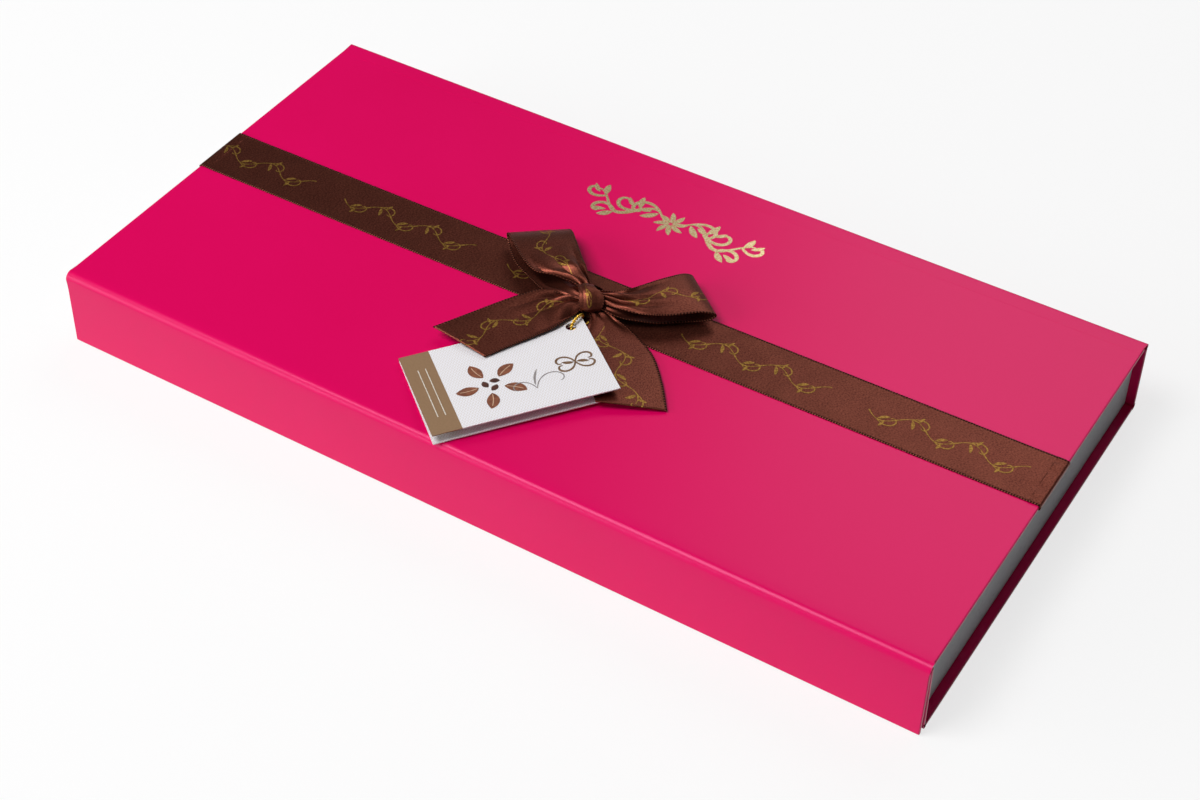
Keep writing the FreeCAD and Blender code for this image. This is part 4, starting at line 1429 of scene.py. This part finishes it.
def swirl(radius, height):
    """A rosette: lobes that twist as they rise to a point."""
    ring = np.arange(96) * math.pi / 48
    rows = []
    for share in np.linspace(0, 1, 15):
        above_wall = max(share - 0.3, 0)
        reach = radius * math.cos(above_wall / 0.7 * 1.45) - (FOOT_INSET if share == 0 else 0)
        lobes = 1 - 0.055 * (1 + np.cos(LOBES * ring)) * (1 + 1.6 * share)
        rows.append((around(ring + 1.1 * above_wall, reach * lobes), height * share**0.9))
    return stacked(rows)


print("a block's outline has", len(rounded_outline(9 * MM, 9 * MM, 1 * MM)), "points")

# %% Fill the cells
KINDS = 4
OVAL_SUNK = 4 * MM


def cells_of(kind):
    """Middles of the cells that hold a kind of chocolate; the kinds take turns along rows and columns."""
    return [(x, y) for column, row, x, y in cells if (column + row) % KINDS == kind]


bar_x, bar_y, bar_z = half_size("nut_bars")
oval_x, oval_y, oval_z = half_size("oval_pralines")
rosette_x, _, rosette_z = half_size("rosette_pralines")
square = block(*half_size("square_pralines"), corner=4 * MM, round_top=3 * MM)
bar = block(bar_x, bar_y, bar_z, corner=6 * MM, round_top=4 * MM)
oval = egg(oval_x, oval_y, oval_z, OVAL_SUNK)
kinds = [
    ("moulded_squares", "square_pralines", square, milk, "milk_chocolate"),
    ("moulded_bars", "nut_bars", bar, dark, "dark_chocolate"),
    ("moulded_ovals", "oval_pralines", oval, white, "white_chocolate"),
    ("moulded_rosettes", "rosette_pralines", swirl(rosette_x, rosette_z), milk, "milk_chocolate"),
]
for k, (name, node, points, material, slot) in enumerate(kinds):
    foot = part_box(node)[0].z
    copies = [ring_mesh(name, points + np.array((x, y, foot))) for x, y in cells_of(k)]
    new_piece(name, joined(name, copies), material, sharp=50, body="case", node=node)
    print(name, len(copies))

# %% [markdown]
# ## Threads and nuts
# Melted chocolate is drizzled in threads from a fine nozzle: a zigzag over each square, slanting lines over
# each oval. The bars are strewn with chopped nuts, which are small broken lumps pressed into the top.
# Particles could strew them, but a seeded draw puts the same lumps in the same places at every run.

# %% Decorate the chocolates
ZIGZAG_RADIUS, THREAD_RADIUS = 0.55 * MM, 0.4 * MM
ZIGZAG_INSET = 3.4 * MM
ZIGZAG_TURNS = 4.5
THREAD_STATIONS = (-0.66, -0.4, -0.14, 0.12, 0.38, 0.64)
NUTS_PER_BAR = 24
NUT_RISE = 0.1 * MM


def zigzag(x, y):
    share = np.linspace(0, 1, 90)
    reach = half_size("square_pralines")[0] - ZIGZAG_INSET
    across = np.arcsin(np.sin(2 * math.pi * ZIGZAG_TURNS * share)) / (math.pi / 2)
    top = np.full_like(share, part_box("square_pralines")[1].z)
    line = np.stack([x + reach * (2 * share - 1), y + reach * 0.95 * across, top], -1)
    return [strand("thread", line, ZIGZAG_RADIUS, sides=6)]


def oval_threads(x, y):
    half_z = (oval_z + OVAL_SUNK) / 2
    centre = np.array((x, y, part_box("oval_pralines")[1].z - half_z))
    angle = np.linspace(-1.1, 1.1, 30)
    threads = []
    for station in THREAD_STATIONS:
        u = station + 0.12 * np.sin(angle * 2)
        spread = np.sqrt(1 - u**2)
        arc = np.stack([oval_x * u, oval_y * spread * np.sin(angle), half_z * spread * np.cos(angle)], -1)
        threads.append(strand("thread", centre + arc, THREAD_RADIUS, sides=6))
    return threads


def chopped_nuts(x, y):
    """Broken lumps over the flat of a bar."""
    top = Vector((x, y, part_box("nut_bars")[1].z + NUT_RISE))
    lumps = []
    for _ in range(NUTS_PER_BAR):
        shape = bmesh.new()
        bmesh.ops.create_icosphere(shape, subdivisions=1, radius=1.0)
        size = shuffle.uniform(0.8, 1.9) * MM
        for vertex in shape.verts:
            vertex.co = vertex.co * size * shuffle.uniform(0.7, 1.15)
            vertex.co.z *= 0.62
        shift = Vector((shuffle.uniform(-0.78, 0.78) * bar_x, shuffle.uniform(-0.66, 0.66) * bar_y, 0.0))
        shape.transform(Matrix.Translation(top + shift))
        lumps.append(mesh_of("lump", shape))
    return lumps


for name, decorate, kind, material, slot in (
    ("white_threads", zigzag, 0, white, "white_chocolate"),
    ("dark_threads", oval_threads, 2, dark, "dark_chocolate"),
    ("nut_pieces", chopped_nuts, 1, chopped_nut, "milk_chocolate"),
):
    meshes = [mesh for x, y in cells_of(kind) for mesh in decorate(x, y)]
    print(name, len(meshes))
    new_piece(name, joined(name, meshes), material, sharp=40, body="case")

# %% [markdown]
# ## Sizes and the end of the lesson
# The dressed box has to fill the same space as its solids, whose span is printed where they are loaded.
